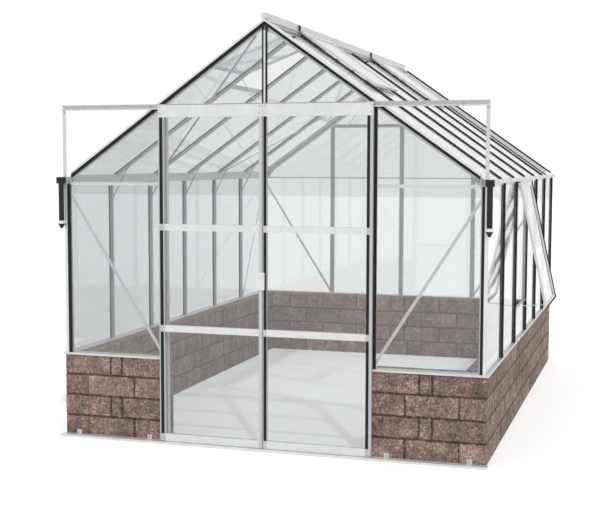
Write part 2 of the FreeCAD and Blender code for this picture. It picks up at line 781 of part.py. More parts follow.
JOINT_LOW = "(eave_height - joint_drop)"
POST_MIDDLE = "(door_gap / 2 - post_width / 2)"
PANE_CORNER = f"({GLASS_HALF} - corner_size - edge_gap)"
front_panes = [
    box(f"{POST_MIDDLE} + edge_gap", PANE_CORNER, SILL_TOP, f"{JOINT_LOW} - edge_gap"),
    under_roof(f"{POST_MIDDLE} + edge_gap", RAFTER_END, f"{JOINT_LOW} + joint_height", GLASS_LINE),
    under_roof("mullion_width / 2 + edge_gap", f"{POST_MIDDLE} - edge_gap", f"{TRACK_TOP} + edge_gap",
               GLASS_LINE),
]
keep(pair("glass_front", padded("panes_front", "XZ_Plane", front_panes, f"-{GABLE_FACE}", "glass_thick")))

# Back gable: posts, transoms and panes

BACK_OUT = "(back_post_at + back_flange / 2)"
BACK_INNER = "(back_post_at - back_flange / 2)"
BACK_LEG = f"({GABLE_IN} - bar_wall)"
back_post = padded("back_post", "XZ_Plane", [under_roof(BACK_INNER, BACK_OUT, SILL_TOP, LEG_LINE)],
                   BACK_LEG, "bar_wall")
pad(back_post, "XZ_Plane",
    [under_roof("back_post_at - bar_wall / 2", "back_post_at + bar_wall / 2", SILL_TOP, LEG_LINE)],
    f"{BACK_LEG} - bar_stem", "bar_stem")


middle_post = padded("middle_post", "XZ_Plane", [under_ridge("back_flange / 2", SILL_TOP, LEG_LINE)],
                     BACK_LEG, "bar_wall")
stem_loop = box("-bar_wall / 2", "bar_wall / 2", SILL_TOP, f"{ROOF_APEX} - keel_depth - fit_gap")
pad(middle_post, "XZ_Plane", [stem_loop], f"{BACK_LEG} - bar_stem", "bar_stem")
keep(group("back_posts", [pair("back_post_pair", back_post), middle_post]))
transom_bar = padded("transom_bar", "XZ_Plane", [box("back_flange / 2", BACK_INNER, TRACK_LOW, TRACK_TOP)],
                     f"{GABLE_IN} - header_depth", "header_depth")
keep(pair("back_transoms", common("back_transom_right", transom_bar, rafter_room)))

back_panes = [
    box("pane_gap / 2", "back_post_at - pane_gap / 2", SILL_TOP, f"{JOINT_LOW} - edge_gap"),
    box("back_post_at + pane_gap / 2", PANE_CORNER, SILL_TOP, f"{JOINT_LOW} - edge_gap"),
    under_roof("pane_gap / 2", "(back_post_at - pane_gap / 2)", f"{JOINT_LOW} + back_joint", GLASS_LINE),
    under_roof("(back_post_at + pane_gap / 2)", RAFTER_END, f"{JOINT_LOW} + back_joint", GLASS_LINE),
]
keep(pair("glass_back", padded("panes_back", "XZ_Plane", back_panes, GABLE_IN, "glass_thick")))

front_joint = padded("joint_front", "XZ_Plane",
                     [box(f"{POST_MIDDLE} + edge_gap", RAFTER_END, f"{JOINT_LOW} - edge_gap",
                          f"{JOINT_LOW} + joint_height")], f"-{GABLE_FACE}", "glass_thick")
back_joint = padded("joint_back", "XZ_Plane",
                    [box(f"-{RAFTER_END}", RAFTER_END, f"{JOINT_LOW} - edge_gap",
                         f"{JOINT_LOW} + back_joint")], GABLE_IN, "glass_thick")
keep(group("joint_strips", [pair("joint_front_pair", front_joint), back_joint]))

# Black seals on both gables

slope_seal_loop = box(f"-{SEAL_FACE}", f"-{GABLE_FACE}", "-rafter_edge - seal_width", "-rafter_edge")
slope_seal_bar = padded("slope_seal_bar", "YZ_Plane", [slope_seal_loop], "-rafter_leg", RAFTER_RUN)
on_slope(slope_seal_bar)
slope_seal = clipped("slope_seal", slope_seal_bar, RAFTER_END)
SEAL_OUT = f"({GLASS_HALF} - corner_size)"
corner_seal_loop = box(f"{SEAL_OUT} - seal_width", SEAL_OUT, SILL_TOP, "eave_height - fit_gap")
corner_seal = padded("corner_seal", "XZ_Plane", [corner_seal_loop], f"-{SEAL_FACE}", "seal_depth")
POST_SEAL = "(door_gap / 2 + post_seal_inset)"
front_seal_loops = [
    under_roof(POST_SEAL, f"({POST_SEAL} + post_seal)", SILL_TOP, SEAL_LINE),
    under_roof("(mullion_width / 2)", "(mullion_width / 2 + seal_depth)", TRACK_TOP, SEAL_LINE),
]
front_bars = padded("front_seal_bars", "XZ_Plane", front_seal_loops, f"-{SEAL_FACE}", "seal_depth")
keep(pair("front_seals", group("front_seal_half", [slope_seal, corner_seal, front_bars])))

back_seal_loop = under_roof("(back_post_at - back_seal / 2)", "(back_post_at + back_seal / 2)",
                            SILL_TOP, SEAL_LINE)
back_bar = padded("back_seal_bar", "XZ_Plane", [back_seal_loop], GABLE_FACE, "seal_depth")
middle_bar = padded("middle_seal_bar", "XZ_Plane", [under_ridge("back_seal / 2", SILL_TOP, SEAL_LINE)],
                    GABLE_FACE, "seal_depth")
rear_half = mirrored("rear_seal_half", group("front_seal_ends", [slope_seal, corner_seal]), (0, 1, 0))
rear_pair = pair("rear_seal_pair", group("rear_seal_right", [rear_half, back_bar]))
keep(group("back_seals", [rear_pair, middle_bar]))

# Flat braces, knee braces and corner gussets

def slanted(top, top_z, foot, foot_z, width):
    """Flat bar from a foot to a top, as wide along the first axis as given."""
    return [(f"{foot} - {width} / 2", foot_z), (f"{foot} + {width} / 2", foot_z),
            (f"{top} + {width} / 2", top_z), (f"{top} - {width} / 2", top_z)]


BRACE_TOP_X = f"({SEAL_OUT} - corner_leg / 2)"
front_brace_loop = slanted(BRACE_TOP_X, "eave_height - brace_drop", "(door_gap / 2 + post_flange / 2)",
                           f"{SILL_TOP} + brace_lift", "brace_width")
front_brace = padded("front_brace", "XZ_Plane", [front_brace_loop], f"-{FLANGE_IN}", "brace_thick")
BACK_FOOT = "(back_post_at + bar_wall / 2 + edge_gap + brace_width / 2)"
back_brace_loop = slanted(BRACE_TOP_X, "eave_height - brace_drop", BACK_FOOT,
                          f"{SILL_TOP} + brace_lift", "brace_width")
back_brace = padded("back_brace", "XZ_Plane", [back_brace_loop], f"{FLANGE_IN} - brace_thick", "brace_thick")
SIDE_FOOT = f"({FIRST_BAR} + {INNER_BARS} * {BAY})"
side_brace_loop = slanted(f"({FLANGE_IN} - brace_width)", "eave_height - brace_lift", SIDE_FOOT,
                          f"{SILL_TOP} + brace_lift", "brace_width")
side_brace = padded("side_brace", "YZ_Plane", [side_brace_loop], f"{BAR_IN} - brace_thick", "brace_thick")
keep(pair("wall_braces", group("braces_right", [front_brace, back_brace, side_brace])))

BRACE_N = f"-({ROOF_IN} + bar_wall + bar_stem + brace_thick)"
BRACE_HIGH = "(wing_reach + keel_depth)"
BRACE_LOW = f"({BAR_STOP} - 2 * brace_lift)"


def roof_brace(name, eave_bar, ridge_y):
    loop = [(along, across) for across, along in slanted(
        ridge_y, BRACE_HIGH, f"({FIRST_BAR} + {eave_bar} * {BAY})", BRACE_LOW, "roof_brace")]
    body = padded(name, "XY_Plane", [loop], BRACE_N, "brace_thick")
    on_slope(body)
    return mirrored(name + "_left", body, (1, 0, 0))


GABLE_REACH = f"({RIDGE_END} - roof_brace)"
keep(group("roof_braces", [roof_brace("roof_brace_front", 2, f"(-{GABLE_REACH})"),
                           roof_brace("roof_brace_back", 4, GABLE_REACH)]))

KNEE_X = f"({GLASS_HALF} - knee_reach)"
knee_loop = slanted(KNEE_X, roof_z(KNEE_X, f"-({ROOF_IN} + bar_wall + bar_stem / 2)"),
                    f"({BAR_IN} + bar_stem / 2)", "eave_height - knee_drop", "knee_width")
knee_row = row_of("knee_row", "XZ_Plane", knee_loop, "bar_wall / 2", "brace_thick", 1, INNER_BARS)
keep(pair("knee_braces", knee_row))

GUSSET_LINE = "(wing_thick + bar_wall - rafter_leg)"
GUSSET_TOP = "(eave_height - beam_drop - bar_wall)"
GUSSET_OUT = f"({GUTTER_IN} + corner_leg - edge_gap)"
GUSSET_FAR = f"({RAFTER_END} - gusset_reach)"
gusset_loop = [
    (GUSSET_OUT, f"{GUSSET_TOP} - gusset_drop + wing_thick"),
    (GUSSET_OUT, GUSSET_TOP),
    (RAFTER_END, GUSSET_TOP),
    (RAFTER_END, roof_z(RAFTER_END, GUSSET_LINE)),
    (GUSSET_FAR, roof_z(GUSSET_FAR, GUSSET_LINE)),
]
gusset = padded("gusset", "XZ_Plane", [gusset_loop], f"-{FLANGE_IN}", "brace_thick")
keep(four("corner_gussets", gusset))

# Door track with the rail that the rollers run on, and the struts under its ends

TRACK_FRONT = f"({CORNER} + track_reach)"
track_loop = [
    (f"-{CORNER}", TRACK_LOW),
    (f"-{TRACK_FRONT}", TRACK_LOW),
    (f"-{TRACK_FRONT}", f"{TRACK_LOW} + plate_thick + track_lip"),
    (f"plate_thick - {TRACK_FRONT}", f"{TRACK_LOW} + plate_thick + track_lip"),
    (f"plate_thick - {TRACK_FRONT}", f"{TRACK_LOW} + plate_thick"),
    (f"-{CORNER} - plate_thick", f"{TRACK_LOW} + plate_thick"),
    (f"-{CORNER} - plate_thick", f"{TRACK_TOP} - plate_thick"),
    (f"-{TRACK_FRONT}", f"{TRACK_TOP} - plate_thick"),
    (f"-{TRACK_FRONT}", TRACK_TOP),
    (f"-{CORNER}", TRACK_TOP),
]
TRACK_HALF = f"({SEAL_OUT} + strut_width)"
keep(padded("door_track", "YZ_Plane", [track_loop], f"-{TRACK_HALF}", f"2 * {TRACK_HALF}"))
STRUT_FACE = f"(-{CORNER} - plate_thick)"
strut_loop = [
    (SEAL_OUT, "eave_height - strut_foot"),
    (f"{GLASS_HALF} - edge_gap", "eave_height - strut_foot"),
    (f"{GLASS_HALF} - edge_gap", "eave_height"),
    (TRACK_HALF, "eave_height"),
    (TRACK_HALF, TRACK_LOW),
    (SEAL_OUT, TRACK_LOW),
]
keep(pair("track_struts", padded("strut", "XZ_Plane", [strut_loop], STRUT_FACE, "plate_thick")))


def round_pad(body, plane, x, y, radius, start, length):
    """Extrude a circle in the same way as an outline."""
    sketch = outline(body, plane, [], start)
    sketch.addGeometry(Part.Circle(FreeCAD.Vector(1, 1, 0), FreeCAD.Vector(0, 0, 1), 1))
    for kind, text in (("DistanceX", x), ("DistanceY", y)):
        index = sketch.addConstraint(Sketcher.Constraint(kind, -1, 1, 0, 3, 1))
        bind(sketch, "Constraints[%d]" % index, text)
    index = sketch.addConstraint(Sketcher.Constraint("Radius", 0, 1))
    bind(sketch, "Constraints[%d]" % index, radius)
    feature = body.newObject("PartDesign::Pad", body.Name + "_round")
    feature.Profile = sketch
    feature.Reversed = plane == "XZ_Plane"
    bind(feature, "Length", length)


def turned(name, plane, loop, axis):
    """Revolve an outline a full turn about one axis of its sketch."""
    body = new_body(name)
    sketch = outline(body, plane, [loop])
    feature = body.newObject("PartDesign::Revolution", name + "_turn")
    feature.Profile = sketch
    feature.ReferenceAxis = (sketch, [axis])
    feature.Angle = 360
    return body


# Sliding doors: frame with cover plate, guide fin and axles; panes, gaskets, handle, rollers

MEET = "door_gap_half"
DOOR_TOP = f"({TRACK_LOW} - track_rise)"
OPENING_IN = f"({MEET} + stile_meet)"
OPENING_OUT = f"({DOOR_WIDTH} - stile_outer)"
DOOR_LEVELS = [
    ("door_bottom + bottom_rail", "low_rail_at"),
    ("low_rail_at + mid_rail", "high_rail_at"),
    ("high_rail_at + mid_rail", f"{DOOR_TOP} - top_rail"),
]
ROLLER_Y = f"({TRACK_FRONT} - plate_thick / 2)"
ROLLER_Z = f"({TRACK_LOW} + plate_thick + track_lip + roller_groove + fit_gap)"
DOOR_MIDDLE = f"(({DOOR_WIDTH} + {MEET}) / 2)"
ROLLER_SPOTS = {"inner": f"({DOOR_MIDDLE} - roller_spread)", "outer": f"({DOOR_MIDDLE} + roller_spread)"}
pane_loops = [box(OPENING_IN, OPENING_OUT, low, high) for low, high in DOOR_LEVELS]


def door_frame(name):
    body = padded(name, "XZ_Plane", [box(MEET, DOOR_WIDTH, "door_bottom", DOOR_TOP)] + pane_loops,
                  f"-{DOOR_FRONT}", "door_thick")
    pad(body, "XZ_Plane", [box(MEET, DOOR_WIDTH, DOOR_TOP, f"{DOOR_TOP} + cover_height")],
        f"-{DOOR_FRONT}", "plate_thick")
    pad(body, "XY_Plane", [box(MEET, DOOR_WIDTH, f"-{GROOVE} - fin_width / 2", f"-{GROOVE} + fin_width / 2")],
        "door_bottom - fin_depth", "fin_depth")
    for spot in ROLLER_SPOTS.values():
        start = f"plate_thick - {DOOR_FRONT}"
        round_pad(body, "XZ_Plane", spot, ROLLER_Z, "axle_radius", start,
                  f"{DOOR_FRONT} - plate_thick - {ROLLER_Y} + roller_width / 2 + axle_end")
    return body


def door_gaskets(name, edges):
    loops = [box(inner, outer, low, high) for inner, outer in edges for low, high in DOOR_LEVELS]
    return padded(name, "XZ_Plane", loops, f"-{DOOR_FRONT} - gasket_proud", "gasket_proud")


def door_panes(name):
    return padded(name, "XZ_Plane", pane_loops, f"pane_inset - {DOOR_FRONT}", "glass_thick")


wide_edge = (f"({DOOR_WIDTH} - inset_left - gasket_wide)", f"({DOOR_WIDTH} - inset_left)")
slim_edge = (f"({DOOR_WIDTH} - inset_right - gasket_slim)", f"({DOOR_WIDTH} - inset_right)")
meet_edge = (f"({MEET} + inset_meet)", f"({MEET} + inset_meet + gasket_slim)")
keep(door_frame("door_right_frame"))
keep(door_panes("door_right_glass"))
keep(door_gaskets("door_right_gaskets", [meet_edge, slim_edge]))
keep(mirrored("door_left_frame", door_frame("left_frame_source"), (1, 0, 0)))
keep(mirrored("door_left_glass", door_panes("left_panes_source"), (1, 0, 0)))
keep(mirrored("door_left_gaskets", door_gaskets("left_gaskets_source", [wide_edge]), (1, 0, 0)))

HANDLE_MID = f"(-{MEET} - handle_width / 2)"
handle_loop = [
    (f"{HANDLE_MID} - handle_width / 2", f"-{DOOR_FRONT}"),
    (f"{HANDLE_MID} + handle_width / 2", f"-{DOOR_FRONT}"),
    (f"{HANDLE_MID} + handle_width / 2", f"-{DOOR_FRONT} - handle_plate"),
    (f"{HANDLE_MID} + grip_root / 2", f"-{DOOR_FRONT} - handle_plate"),
    (f"{HANDLE_MID} + grip_crown / 2", f"-{DOOR_FRONT} - handle_grip"),
    (f"{HANDLE_MID} - grip_crown / 2", f"-{DOOR_FRONT} - handle_grip"),
    (f"{HANDLE_MID} - grip_root / 2", f"-{DOOR_FRONT} - handle_plate"),
    (f"{HANDLE_MID} - handle_width / 2", f"-{DOOR_FRONT} - handle_plate"),
]
keep(padded("door_handle", "XY_Plane", [handle_loop], "handle_low", "handle_height"))

BORE = "axle_radius + axle_play"
roller_loop = [
    ("-roller_width / 2", BORE),
    ("roller_width / 2", BORE),
    ("roller_width / 2", "roller_radius"),
    ("groove_mouth / 2", "roller_radius"),
    ("groove_mouth / 2", "roller_groove"),
    ("-groove_mouth / 2", "roller_groove"),
    ("-groove_mouth / 2", "roller_radius"),
    ("-roller_width / 2", "roller_radius"),
]
for side_name, sign in (("left", "-"), ("right", "")):
    for spot_name, spot in ROLLER_SPOTS.items():
        roller = keep(turned(f"roller_{side_name}_{spot_name}", "YZ_Plane", roller_loop, "H_Axis"))
        place(roller, f"{sign}{spot}", f"-{ROLLER_Y}", ROLLER_Z)

# Downpipes with the black gutter ends, their clips and nozzles

PIPE_X = f"({GLASS_HALF} + pipe_out)"
PIPE_Y = f"({CORNER} + pipe_clear + pipe_radius)"
pipe_tube = box("pipe_radius - pipe_wall", "pipe_radius", "-pipe_length", "0")
pipe = turned("downpipe", "XZ_Plane", pipe_tube, "V_Axis")
STRUT_EDGE = f"({TRACK_HALF} + edge_gap - {PIPE_X})"
cap_loop = [
    ("-cap_half", "-pipe_radius"),
    ("cap_half", "-pipe_radius"),
    ("cap_half", f"{PIPE_Y} - {SEAL_FACE}"),
    (STRUT_EDGE, f"{PIPE_Y} - {SEAL_FACE}"),
    (STRUT_EDGE, f"{PIPE_Y} + {STRUT_FACE}"),
    ("-cap_half", f"{PIPE_Y} + {STRUT_FACE}"),
]
pad(pipe, "XY_Plane", [cap_loop], "0", "gutter_height")
place(pipe, PIPE_X, f"-{PIPE_Y}", "eave_height")
keep(pair("downpipes", pipe))
CLIP_IN = "(pipe_radius + fit_gap)"
clip = turned("pipe_clip", "XZ_Plane", box(CLIP_IN, f"{CLIP_IN} + clip_wall", "0", "clip_height"), "V_Axis")
tab_loop = [
    (f"-({CLIP_IN} + clip_wall)", "tab_root"),
    ("-tab_in", "pipe_radius"),
    ("-tab_in", "pipe_clear + pipe_radius"),
    ("-tab_out", "pipe_clear + pipe_radius"),
]
pad(clip, "XY_Plane", [tab_loop], "0", "clip_height")
place(clip, PIPE_X, f"-{PIPE_Y}", "eave_height - pipe_length")
keep(pair("pipe_clips", clip))
nozzle_loop = [
    ("nozzle_tip - pipe_wall", "-nozzle_height"),
    ("nozzle_tip", "-nozzle_height"),
    ("nozzle_radius", "-pipe_wall"),
    ("nozzle_radius", "0"),
    ("nozzle_mouth", "0"),
]
nozzle = turned("pipe_nozzle", "XZ_Plane", nozzle_loop, "V_Axis")
place(nozzle, PIPE_X, f"-{PIPE_Y}", "eave_height - pipe_length")
keep(pair("pipe_nozzles", nozzle))

# Roof vents and side window: framed sashes that turn on a bead, each with its stay

SASH_WIDTH = f"({BAY} - 2 * edge_gap)"


def sash_frame(name, length, lug):
    """Sash in its own frame: X away from the hinge, Z outwards, Y along the house."""
    opening = box("sash_web + sash_rail", f"{length} - sash_rail", "sash_rail", f"{SASH_WIDTH} - sash_rail")
    body = padded(name, "XY_Plane", [box("sash_web", length, "0", SASH_WIDTH), opening],
                  "-sash_thick / 2", "sash_thick")
    pad(body, "XZ_Plane", [box("0", "sash_web", "-bar_wall / 2", "bar_wall / 2")], "0", SASH_WIDTH)
    round_pad(body, "XZ_Plane", "0", "0", "bead_radius", "0", SASH_WIDTH)
    if lug:
        pad(body, "XY_Plane", [box(f"{VENT_PIVOT} - lug_reach", f"{length} - sash_rail / 2",
                                   f"({SASH_WIDTH} - lug_width) / 2", f"({SASH_WIDTH} + lug_width) / 2")],
            "-sash_thick / 2", "plate_thick")
    return body


def sash_pane(name, length):
    opening = box("sash_web + sash_rail", f"{length} - sash_rail", "sash_rail", f"{SASH_WIDTH} - sash_rail")
    return padded(name, "XY_Plane", [opening], "-glass_thick / 2", "glass_thick")


def stay_bar(name, hinge, closed, opened, pivot, guide, length, y):
    """Stay under a sash; it leans half as far as the sash and so keeps passing its guide."""
    heading = f"({closed} - {opened})"
    reach = f"sqrt({pivot} ^ 2 + stay_drop ^ 2 - {guide} ^ 2)"
    lean = f"(atan(stay_drop / {pivot}) + atan({guide} / {reach})) / 2"
    loop = box("-stay_thick / 2", "stay_thick / 2", f"-{length}", "0")
    body = padded(name, "XZ_Plane", [loop], "-stay_width / 2", "stay_width")
    round_pad(body, "XZ_Plane", "0", "0", "stay_bead", "-stay_width / 2", "stay_width")
    place(body, f"{hinge[0]} + {pivot} * cos({heading}) - stay_drop * sin({heading})", y,
          f"{hinge[1]} - {pivot} * sin({heading}) - stay_drop * cos({heading})",
          f"({closed} - {opened} / 2) * 1 deg + {lean}")
    return body


def sash_start(index):
    return f"({FIRST_BAR} + {index} * {BAY} + edge_gap)"


def vent(name, index, opened, left):
    """Frame, pane and stay of one roof vent, on the right slope or mirrored to the left."""
    source = name + "_source" if left else name
    hinge = ("vent_axis_x", VENT_AXIS_Z)
    pieces = [sash_frame(source + "_frame", "vent_length", True), sash_pane(source + "_glass", "vent_length")]
    for piece in pieces:
        place(piece, hinge[0], sash_start(index), hinge[1], f"roof_pitch - {opened}")
    pieces.append(stay_bar(source + "_stay", hinge, "roof_pitch", opened, VENT_PIVOT, "vent_guide",
                           "vent_stay", f"{sash_start(index)} + {SASH_WIDTH} / 2"))
    for piece, ending in zip(pieces, ("_frame", "_glass", "_stay")):
        keep(mirrored(name + ending, piece, (1, 0, 0)) if left else piece)


vent("vent_left", LEFT_VENTS[0], "vent_angle", True)
vent("vent_right_front", RIGHT_VENTS[0], "0", False)
vent("vent_right_rear", RIGHT_VENTS[1], "0", False)

WINDOW_HINGE = (f"({WALL_SIDE} + window_clear)", WINDOW_AXIS_Z)
window_frame = keep(sash_frame("window_frame", "window_length", False))
window_glass = keep(sash_pane("window_glass", "window_length"))
seal_loop = [
    ("sash_web", f"{SASH_WIDTH} - edge_seal"),
    ("window_length - edge_seal", f"{SASH_WIDTH} - edge_seal"),
    ("window_length - edge_seal", "0"),
    ("window_length", "0"),
    ("window_length", SASH_WIDTH),
    ("sash_web", SASH_WIDTH),
]
window_seal = keep(padded("window_seal", "XY_Plane", [seal_loop], "sash_thick / 2", "gasket_proud"))
for piece in (window_frame, window_glass, window_seal):
    place(piece, WINDOW_HINGE[0], sash_start(WINDOW_BAY), WINDOW_HINGE[1], "90 - window_angle")
keep(stay_bar("window_stay", WINDOW_HINGE, "90", "window_angle", WINDOW_PIVOT, "window_guide", "window_stay",
              f"{sash_start(WINDOW_BAY)} + window_stay_at"))

# Check every object and write each node

doc.recompute()
for item in doc.Objects:
    if "Invalid" in item.State or "Error" in item.State:
        raise RuntimeError("object in error: " + item.Label)
os.makedirs("parts", exist_ok=True)
for item in NODES:
    if item.Shape.isNull() or not item.Shape.isValid():
        raise RuntimeError("bad shape: " + item.Label)
    item.Shape.exportStep("parts/%s.step" % item.Label)
    print(item.Label, len(item.Shape.Solids), item.Shape.BoundBox)
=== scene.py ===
# %% [markdown]
# # A greenhouse on a block wall
# The construction comes as a frame of named solids with joints. This lesson dresses that frame:
# stone for the wall, metal, glass, rubber and plastic for the rest, a few fasteners, and then
# the floor, the light and the camera. We work in metres, with Z up and the doors facing -Y.

import math
import random

import bmesh
import bpy
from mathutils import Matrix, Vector


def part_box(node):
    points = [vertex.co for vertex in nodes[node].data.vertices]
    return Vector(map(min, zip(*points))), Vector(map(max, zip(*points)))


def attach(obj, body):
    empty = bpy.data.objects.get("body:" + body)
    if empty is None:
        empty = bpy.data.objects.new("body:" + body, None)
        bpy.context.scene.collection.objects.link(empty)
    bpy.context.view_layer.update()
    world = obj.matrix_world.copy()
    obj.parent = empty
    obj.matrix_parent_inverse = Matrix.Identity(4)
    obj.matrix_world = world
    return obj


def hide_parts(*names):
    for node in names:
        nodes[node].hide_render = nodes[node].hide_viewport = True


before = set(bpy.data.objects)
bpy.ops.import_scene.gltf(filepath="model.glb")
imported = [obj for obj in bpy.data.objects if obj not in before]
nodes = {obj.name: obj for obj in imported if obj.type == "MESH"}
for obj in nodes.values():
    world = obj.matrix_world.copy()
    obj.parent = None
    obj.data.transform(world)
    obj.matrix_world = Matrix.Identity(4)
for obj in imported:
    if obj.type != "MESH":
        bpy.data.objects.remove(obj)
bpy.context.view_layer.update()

# %% [markdown]
# ## A small kit for node trees
# Every finish is a tree of nodes around one Principled shader, and blocks and screws grow from
# trees as well. A few helpers keep the trees short: one adds a node and sets its values, one joins
# two sockets, and the others make the sums and patterns that come back again and again. Patterns
# read Object coordinates, because every piece sits at the origin and so shares one space.

# %% Helpers for every tree


def add(tree, kind, **values):
    """Add a node; a name that isn't a property of the node is one of its sockets."""
    node = tree.nodes.new(kind)
    for name, value in values.items():
        if hasattr(node, name):
            setattr(node, name, value)
        else:
            node.inputs[name.replace("_", " ")].default_value = value
    return node


def joined(tree, source, target):
    """Join a socket to the target; a plain number is set on the target instead."""
    if isinstance(source, (int, float)):
        target.default_value = source
    else:
        tree.links.new(source, target)


def reckon(tree, operation, *values):
    """One step of arithmetic on sockets and plain numbers."""
    node = add(tree, "ShaderNodeMath", operation=operation)
    for value, socket in zip(values, node.inputs):
        joined(tree, value, socket)
    return node.outputs["Value"]


def put(name, data):
    """A new object of the scene, at the origin."""
    piece = bpy.data.objects.new(name, data)
    bpy.context.scene.collection.objects.link(piece)
    return piece


print("kit for all trees: add, joined, reckon, put")

# %% Helpers for finishes: noise and colours


def new_finish(name):
    """A material with its Principled shader and the object coordinates."""
    material = bpy.data.materials.new(name)
    material.use_nodes = True
    tree = material.node_tree
    place = add(tree, "ShaderNodeTexCoord").outputs["Object"]
    return material, tree, tree.nodes["Principled BSDF"], place


def noise(tree, place, scale, detail, rough):
    """Noise on the given coordinates."""
    texture = add(tree, "ShaderNodeTexNoise", Scale=scale, Detail=detail, Roughness=rough)
    joined(tree, place, texture.inputs["Vector"])
    return texture.outputs["Fac"]


def ramp(tree, value, stops):
    """Colours along a value; stops are (position, (r, g, b))."""
    node = add(tree, "ShaderNodeValToRGB")
    band = node.color_ramp
    while len(band.elements) < len(stops):
        band.elements.new(0.5)
    for element, (position, colour) in zip(band.elements, stops):
        element.position = position
        element.color = (*colour, 1)
    joined(tree, value, node.inputs["Fac"])
    return node.outputs["Color"]


def greys(stops):
    """Stops of plain grey from (position, tone)."""
    return [(position, (tone, tone, tone)) for position, tone in stops]


print("kit for finishes: new_finish, noise, ramp, greys")

# %% Helpers for finishes: ranges, products and bumps


def span(tree, value, low, high, start=0.3, end=0.7):
    """Map a pattern's middle range to two numbers."""
    node = add(tree, "ShaderNodeMapRange", From_Min=start, From_Max=end, To_Min=low, To_Max=high)
    joined(tree, value, node.inputs["Value"])
    return node.outputs["Result"]


def multiplied(tree, share, first, second):
    """The first colour multiplied by the second, by a share from 0 to 1."""
    node = add(tree, "ShaderNodeMix", data_type="RGBA", blend_type="MULTIPLY")
    # Its sockets come once for each kind of data under the same names: these are those for colours.
    for value, socket in ((share, 0), (first, 6), (second, 7)):
        joined(tree, value, node.inputs[socket])
    return node.outputs[2]


def relief(tree, shader, height, distance, strength):
    """Turn a pattern into small bumps."""
    bump = add(tree, "ShaderNodeBump", Distance=distance, Strength=strength)
    joined(tree, height, bump.inputs["Height"])
    joined(tree, bump.outputs["Normal"], shader.inputs["Normal"])


print("kit for finishes: span, multiplied, relief")

# %% [markdown]
# ## Metal, rubber and plastic
# The bars are drawn aluminium with a faint unevenness from the die: pale on plates and rails, and
# with painted shade a little darker on the outer profiles and darker still on the bars inside. The
# strips that hold the glass are dull black rubber, the rain pieces are smoother black plastic. A
# picture of metal could be laid on, but it would have to be fitted to every bar. A fine noise that
# changes colour and roughness a little suits all of them, and no surface is one flat tone.

# %% Drawn aluminium


def metal_finish(name, dark, light, metallic):
    material, tree, shader, place = new_finish(name)
    grain = noise(tree, place, scale=14, detail=6, rough=0.6)
    fine = noise(tree, place, scale=260, detail=2, rough=0.5)
    joined(tree, ramp(tree, grain, [(0.3, dark), (0.7, light)]), shader.inputs["Base Color"])
    joined(tree, span(tree, grain, 0.30, 0.44), shader.inputs["Roughness"])
    shader.inputs["Metallic"].default_value = metallic
    relief(tree, shader, fine, distance=0.0004, strength=0.25)
    return material


DRAWN = ((0.66, 0.665, 0.67), (0.74, 0.745, 0.75), 0.5)
aluminium = metal_finish("drawn_aluminium", *DRAWN)
# Darker copies of the same aluminium: painted shade on the outer profiles, deeper on the bars inside.
shade_aluminium = metal_finish("aluminium_painted_shade", (0.57, 0.575, 0.58), (0.65, 0.655, 0.66), 0.5)
deep_shade_aluminium = metal_finish("aluminium_painted_deep_shade", (0.43, 0.435, 0.44), (0.52, 0.525, 0.53), 0.55)
coated = metal_finish("coated_handle", (0.72, 0.72, 0.72), (0.78, 0.78, 0.78), 0.1)
zinc = metal_finish("zinc_screws", (0.42, 0.43, 0.44), (0.60, 0.61, 0.62), 0.8)
print("metals:", aluminium.name, shade_aluminium.name, deep_shade_aluminium.name, coated.name, zinc.name)

# %% [markdown]
# The stiles of the doors are stepped profiles and look darker than the flat rails, most of all
# where the two doors meet, because their steps and the gap lie in shade. The steps are small, so
# they aren't modelled: instead a painted shade follows the place across the door, below the cover
# plate.

# %% Doors with painted shade on the stiles
COVER_FOOT = 2.341
# Painted shade by the distance from the middle: darkest in the gap, then on the meeting and outer stiles.
STILE_SHADE = ((0.004, 0.50), (0.007, 0.78), (0.0275, 0.78), (0.0285, 1.0), (0.7405, 1.0), (0.7415, 0.70))
doors = metal_finish("door_aluminium_painted_shade", *DRAWN)
tree = doors.node_tree
base = tree.nodes["Principled BSDF"].inputs["Base Color"]
axes = add(tree, "ShaderNodeSeparateXYZ")
joined(tree, add(tree, "ShaderNodeTexCoord").outputs["Object"], axes.inputs["Vector"])
across = reckon(tree, "ABSOLUTE", axes.outputs["X"])
below = reckon(tree, "LESS_THAN", axes.outputs["Z"], COVER_FOOT)
stile_shaded = multiplied(tree, below, base.links[0].from_socket, ramp(tree, across, greys(STILE_SHADE)))
joined(tree, stile_shaded, base)
print("doors:", doors.name)

# %% Black rubber, black plastic, white plastic


def dull_finish(name, dark, light, low, high, shine):
    material, tree, shader, place = new_finish(name)
    cloud = noise(tree, place, scale=9, detail=5, rough=0.6)
    fine = noise(tree, place, scale=420, detail=2, rough=0.5)
    joined(tree, ramp(tree, cloud, [(0.3, dark), (0.7, light)]), shader.inputs["Base Color"])
    joined(tree, span(tree, cloud, low, high), shader.inputs["Roughness"])
    shader.inputs["Specular IOR Level"].default_value = shine
    relief(tree, shader, fine, distance=0.0004, strength=0.3)
    return material


rubber = dull_finish("black_rubber", (0.011, 0.011, 0.012), (0.023, 0.023, 0.024), 0.55, 0.70, 0.15)
black = dull_finish("black_plastic", (0.010, 0.010, 0.011), (0.020, 0.020, 0.021), 0.35, 0.48, 0.25)
white = dull_finish("white_plastic", (0.74, 0.74, 0.73), (0.82, 0.82, 0.81), 0.34, 0.48, 0.5)
print("rubber and plastic:", rubber.name, black.name, white.name)
